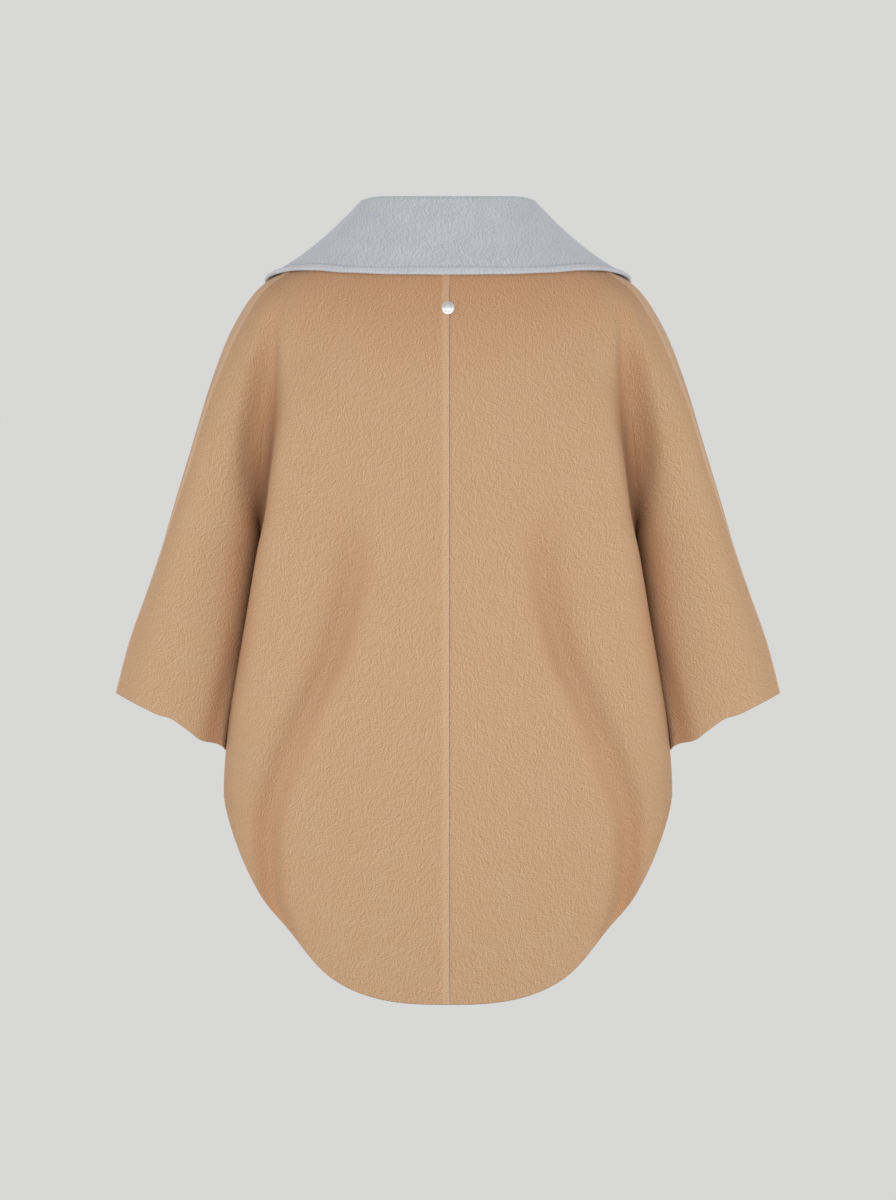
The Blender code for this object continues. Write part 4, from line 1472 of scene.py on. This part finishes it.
def fitting(name: str, bm: BMesh, place: Matrix, material: Material, sharp: float = 50.0) -> Object:
    """Makes a small hard piece out of a bmesh.

    Args:
        name: The piece's name.
        bm: Its shape; it is used up.
        place: Brings the shape to its place in metres.
        material: Its finish.
        sharp: The angle in degrees above which an edge is drawn sharp.

    Returns:
        The piece.
    """
    bmesh.ops.recalc_face_normals(bm, faces=bm.faces)
    bmesh.ops.transform(bm, matrix=place, verts=bm.verts)
    mesh = mesh_of(name, bm, material)
    mesh.set_sharp_from_angle(angle=math.radians(sharp))
    return placed(name, mesh)


def stand_on(point: Array, outward: Array, lift: float) -> Matrix:
    """Finds how to stand something on a face of the coat.

    Args:
        point: The point of the face.
        outward: The face's direction there.
        lift: How far off the face it stands.

    Returns:
        A matrix from millimetres about an origin to metres, with z outwards and x level.
    """
    z = Vector(outward)
    x = Vector((0.0, 0.0, 1.0)).cross(z).normalized()
    turn = Matrix((x, z.cross(x), z)).transposed().to_4x4()
    return Matrix.Translation((Vector(point) + z * lift) * MM) @ turn @ Matrix.Scale(MM, 4)


@dataclass
class Stud:
    """The plain domed stud in the middle of the back, just under the collar.

    beside is the station, just beside the centre back, where the face is looked at.
    """

    form: CoatForm
    z: float = -78.5
    lift: float = 1.0
    beside: float = 0.02
    steps: int = 96
    sharp: float = 35.0
    profile: tuple[Pair, ...] = (
        (0.0, 3.1), (1.2, 3.05), (2.4, 2.88), (3.5, 2.55), (4.4, 2.1), (5.1, 1.55), (5.4, 1.15), (5.65, 1.0),
        (6.6, 0.95), (6.9, 0.8), (7.0, 0.5), (6.9, 0.2), (6.7, 0.0), (0.0, 0.0),
    )

    def build(self, material: Material) -> Object:
        """Makes the stud.

        Args:
            material: Its metal.

        Returns:
            The stud.
        """
        s, level = np.array([self.beside]), (0.0, 1.0, 1.0)
        v = self.form.ring_at_height(s, np.array([self.z]))
        point = self.form.surface(s, v, Strip.BODY)[0] * level
        outward = unit(self.form.outward(s, v, Strip.BODY) * level)[0]
        bm = bmesh.new()
        turned(bm, self.profile, self.steps)
        return fitting("domed_stud", bm, stand_on(point, outward, self.lift), material, self.sharp)


@dataclass
class Button:
    """A sewn-through button on the upper front, with the thread that holds it."""

    number: int
    place: Matrix
    steps: int = 96
    hole_radius: float = 1.3
    hole_offset: float = 2.05
    hole_steps: int = 20
    rim: tuple[Pair, ...] = (
        (9.6, 2.8), (10.1, 2.92), (10.7, 3.4), (11.3, 3.82), (12.0, 4.0), (12.8, 3.92), (13.4, 3.6),
        (13.85, 3.0), (14.0, 2.2), (13.85, 1.3), (13.3, 0.6), (12.3, 0.15), (11.2, 0.0), (9.6, 0.0),
    )
    nearly: float = 0.01
    strand: float = 0.36
    strands: int = 3
    strand_apart: float = 1.9
    strand_sides: int = 8
    strand_steps: int = 14
    strand_sink: float = 0.25
    flatness: float = 0.45
    thread_sharp: float = 80.0

    def _holes(self, bm: BMesh, height: float) -> list[list[bmesh.types.BMEdge]]:
        """Closes one face of the disc inside its rim, leaving four round holes.

        Args:
            bm: The button's bmesh, with its rim.
            height: The face's height.

        Returns:
            The edges of each hole.
        """
        reach = self.rim[0][0] + self.nearly
        inside = {vert for vert in bm.verts
                  if abs(vert.co.z - height) < self.nearly and vert.co.xy.length < reach}
        ring = [edge for edge in bm.edges if edge.is_boundary and inside.issuperset(edge.verts)]
        holes = []
        for x in (-self.hole_offset, self.hole_offset):
            for y in (-self.hole_offset, self.hole_offset):
                hole = bmesh.ops.create_circle(bm, segments=self.hole_steps, radius=self.hole_radius,
                                               matrix=Matrix.Translation((x, y, height)))["verts"]
                holes.append(edges_of(hole))
        bmesh.ops.triangle_fill(bm, edges=ring + sum(holes, []), use_beauty=True, normal=(0.0, 0.0, 1.0))
        return holes

    def disc(self, material: Material) -> Object:
        """Makes the button: a turned rim round a dished plate with four holes.

        Args:
            material: Its horn.

        Returns:
            The button.
        """
        bm = bmesh.new()
        turned(bm, self.rim, self.steps)
        for upper, lower in zip(self._holes(bm, self.rim[0][1]), self._holes(bm, self.rim[-1][1])):
            bmesh.ops.bridge_loops(bm, edges=upper + lower)
        return fitting(f"horn_button_{self.number}", bm, self.place, material)

    def thread(self, material: Material) -> Object:
        """Makes the thread: two level stitches of a few strands through the four holes.

        Args:
            material: Its thread.

        Returns:
            The stitches.
        """
        bm = bmesh.new()
        for y in (-self.hole_offset, self.hole_offset):
            for strand in range(self.strands):
                aside = y + (strand - (self.strands - 1) / 2) * self.strand * self.strand_apart
                start = Matrix.Translation((-self.hole_offset, aside, 0.0))
                ring = bmesh.ops.create_circle(bm, segments=self.strand_sides, radius=self.strand,
                                               matrix=start)["verts"]
                bmesh.ops.spin(bm, geom=ring + edges_of(ring), cent=(0, aside, 0), axis=(0, 1, 0),
                               dvec=(0, 0, 0), angle=math.pi, steps=self.strand_steps)
        bmesh.ops.holes_fill(bm, edges=bm.edges, sides=0)
        bmesh.ops.scale(bm, vec=(1.0, 1.0, self.flatness), verts=bm.verts)
        bmesh.ops.translate(bm, vec=(0.0, 0.0, self.rim[0][1] - self.strand_sink), verts=bm.verts)
        return fitting(f"button_thread_{self.number}", bm, self.place, material, self.thread_sharp)


@dataclass
class Buttonhole:
    """A worked buttonhole in the upper front, level, running from under its button towards the middle.

    along gives a place on the front for a distance from the middle and a height above the slit.
    """

    number: int
    along: Callable[[float, float], Matrix]
    span: Pair = (23.0, 55.0)
    pitch: float = 0.62
    stitch: Triple = (0.36, 1.0, 0.34)
    half_gap: float = 0.95
    bar: float = 2.3
    bars: Pair = (0.7, 1.3)
    sharp: float = 80.0

    def build(self, material: Material) -> Object:
        """Makes the stitches: a row above the slit, a row below it and a bar at each end.

        Args:
            material: Their thread.

        Returns:
            The stitches.
        """
        bm = bmesh.new()
        width, length, height = self.stitch
        first, last = self.span
        near, far = self.bars
        sewn = [(x, way * self.half_gap, length)
                for x in np.arange(first, last, self.pitch) for way in (-1.0, 1.0)]
        sewn += [(x, 0.0, self.bar) for x in (first - far, first - near, last + near, last + far)]
        for x, aside, reach in sewn:
            place = self.along(x, aside) @ Matrix.Diagonal((width, reach, height, 1.0))
            bmesh.ops.create_uvsphere(bm, u_segments=8, v_segments=5, radius=1.0, matrix=place)
        return fitting(f"buttonhole_{self.number}", bm, Matrix.Identity(4), material, self.sharp)


@dataclass
class Closing:
    """The buttons in their two columns, and the buttonholes of the column that closes the front.

    blade is how far from the middle one station at the centre front reaches.
    """

    form: CoatForm
    x: float = 52.0
    heights: Pair = (-205.0, -335.0)
    lift: float = LAP + REST_GAP
    stitch_lift: float = LAP + 0.1
    blade: float = 80.0

    def place(self, x: float, z: float, lift: float) -> Matrix:
        """Finds a place on the upper front.

        Args:
            x: How far it is from the middle.
            z: Its height.
            lift: How far it is above the lower front's face.

        Returns:
            The place, as stand_on gives it.
        """
        form = self.form
        s = np.array([Station.CENTRE_FRONT - abs(x) / self.blade])
        v = np.interp([-z], [-row[1] for row in form.body_rings], range(len(form.body_rings)))
        flip = np.array([math.copysign(1.0, x), 1.0, 1.0])
        point, outward = form.surface(s, v, Strip.BODY)[0], form.outward(s, v, Strip.BODY)[0]
        return stand_on(point * flip, outward * flip, lift)

    def buttons(self) -> list[Button]:
        """The four buttons, numbered down and across as their nodes are."""
        places = [(x, z) for z in self.heights for x in (-self.x, self.x)]
        return [Button(number, self.place(x, z, self.lift)) for number, (x, z) in enumerate(places, start=1)]

    def buttonholes(self) -> list[Buttonhole]:
        """The two buttonholes, level with the closing buttons."""
        return [Buttonhole(number, lambda x, aside, z=z: self.place(x, z + aside, self.stitch_lift))
                for number, z in enumerate(self.heights, start=1)]


# ---- studio --------------------------------------------------------------------------------
@dataclass
class Studio:
    """A pale floor, soft light all round and the camera, level behind the coat.

    frame_height is how much of the coat's height the camera takes in at true_depth towards it. Each
    lamp has a name, an azimuth from the camera in degrees and a power, and there is one either side.
    """

    aim_height: float = -0.387
    distance: float = 16.0
    far_clip: float = 200.0
    sensor: float = 36.0
    frame_height: float = 1.272
    true_depth: float = 0.06
    floor_height: float = -1.7
    floor_radius: float = 10.4
    floor_grey: float = 0.12
    floor_glow: float = 0.46
    daylight: Triple = (1.0, 1.0, 0.992)
    surround: float = 0.686
    lamp_distance: float = 1.9
    lamp_height: float = -0.40
    lamp_size: Pair = (0.9, 1.0)
    lamps: tuple[tuple[str, float, float], ...] = (
        ("back", 8.0, 10.3), ("side", 75.0, 9.6), ("front", 150.0, 12.0),
    )

    def camera(self) -> None:
        """Sets up the camera."""
        data = bpy.data.cameras.new("camera")
        data.sensor_width = self.sensor
        data.lens = self.sensor * (self.distance - self.true_depth) / self.frame_height
        data.clip_end = self.far_clip
        camera = placed("camera", data)
        camera.location = (0.0, self.distance, self.aim_height)
        camera.rotation_euler = (math.pi / 2, 0.0, math.pi)
        bpy.context.scene.camera = camera

    def floor(self) -> None:
        """Lays the floor."""
        bm = bmesh.new()
        bmesh.ops.create_circle(bm, cap_ends=True, segments=96, radius=self.floor_radius)
        bmesh.ops.translate(bm, verts=bm.verts, vec=(0.0, 0.0, self.floor_height))
        k = Sketch("pale_floor")
        k.set(Base_Color=(*(self.floor_grey,) * 3, 1.0), Roughness=1.0, Specular_IOR_Level=0.0,
              Emission_Color=(*self.daylight, 1.0), Emission_Strength=self.floor_glow)
        placed("floor", mesh_of("floor", bm, k.material))

    def lamp(self, name: str, azimuth: float, power: float) -> None:
        """Hangs one soft light that looks at the coat.

        Args:
            name: The light's name.
            azimuth: Its direction from the coat, in degrees from the camera's side.
            power: Its power in watts.
        """
        data = bpy.data.lights.new(name, "AREA")
        data.shape = "RECTANGLE"
        data.size, data.size_y = self.lamp_size
        data.energy = power
        lamp = placed(name, data)
        angle = math.radians(azimuth)
        place = Vector((math.sin(angle), math.cos(angle), 0.0)) * self.lamp_distance
        place.z = self.lamp_height
        lamp.location = place
        towards = Vector((0.0, 0.0, self.aim_height)) - place
        lamp.rotation_euler = towards.to_track_quat("-Z", "Y").to_euler()
        lamp.visible_camera = False

    def light(self) -> None:
        """Lights the coat softly from all round."""
        world = bpy.data.worlds.new("surround")
        world.use_nodes = True
        background = world.node_tree.nodes["Background"]
        background.inputs["Color"].default_value = (*self.daylight, 1.0)
        background.inputs["Strength"].default_value = self.surround
        bpy.context.scene.world = world
        for place, azimuth, power in self.lamps:
            for side, way in (("right", -1), ("left", 1)):
                self.lamp(f"{place}_{side}", azimuth * way, power)

    def build(self) -> None:
        """Makes the whole studio."""
        bpy.context.scene.view_settings.view_transform = "Standard"
        bpy.context.scene.view_settings.look = "None"
        self.camera()
        self.floor()
        self.light()


def main() -> None:
    """Builds the coat and its studio, and reports each piece."""
    logging.basicConfig(level=logging.INFO, format="%(message)s")
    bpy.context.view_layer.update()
    Studio().build()
    form = CoatForm()
    camel, blue_grey, horn, silver, thread = (
        finish.build() for finish in (CAMEL, BLUE_GREY, HORN, SILVER, THREAD)
    )
    made = []
    for face in Face:
        for word, side in (("left", 1), ("right", -1)):
            panel = HalfPanel(f"{face.value}_{word}", face, side, form)
            made.append((panel.build(Cloth(camel, blue_grey)), "camel_wool", panel.name))
    made.append((Collar(form).build(Cloth(blue_grey, blue_grey)), "blue_grey_wool", "collar"))
    made.append((Stud(form).build(silver), "brushed_silver", "stud"))
    closing = Closing(form)
    for button in closing.buttons():
        made.append((button.disc(horn), "brown_horn", f"button_{button.number}"))
        made.append((button.thread(thread), "camel_wool", None))
    for buttonhole in closing.buttonholes():
        made.append((buttonhole.build(thread), "camel_wool", None))
    for piece, slot, node in made:
        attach(piece, "root")
        if node:
            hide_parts(node)
        LOG.info("%s: %d faces", piece.name, len(piece.data.polygons))


if __name__ == "__main__":
    main()
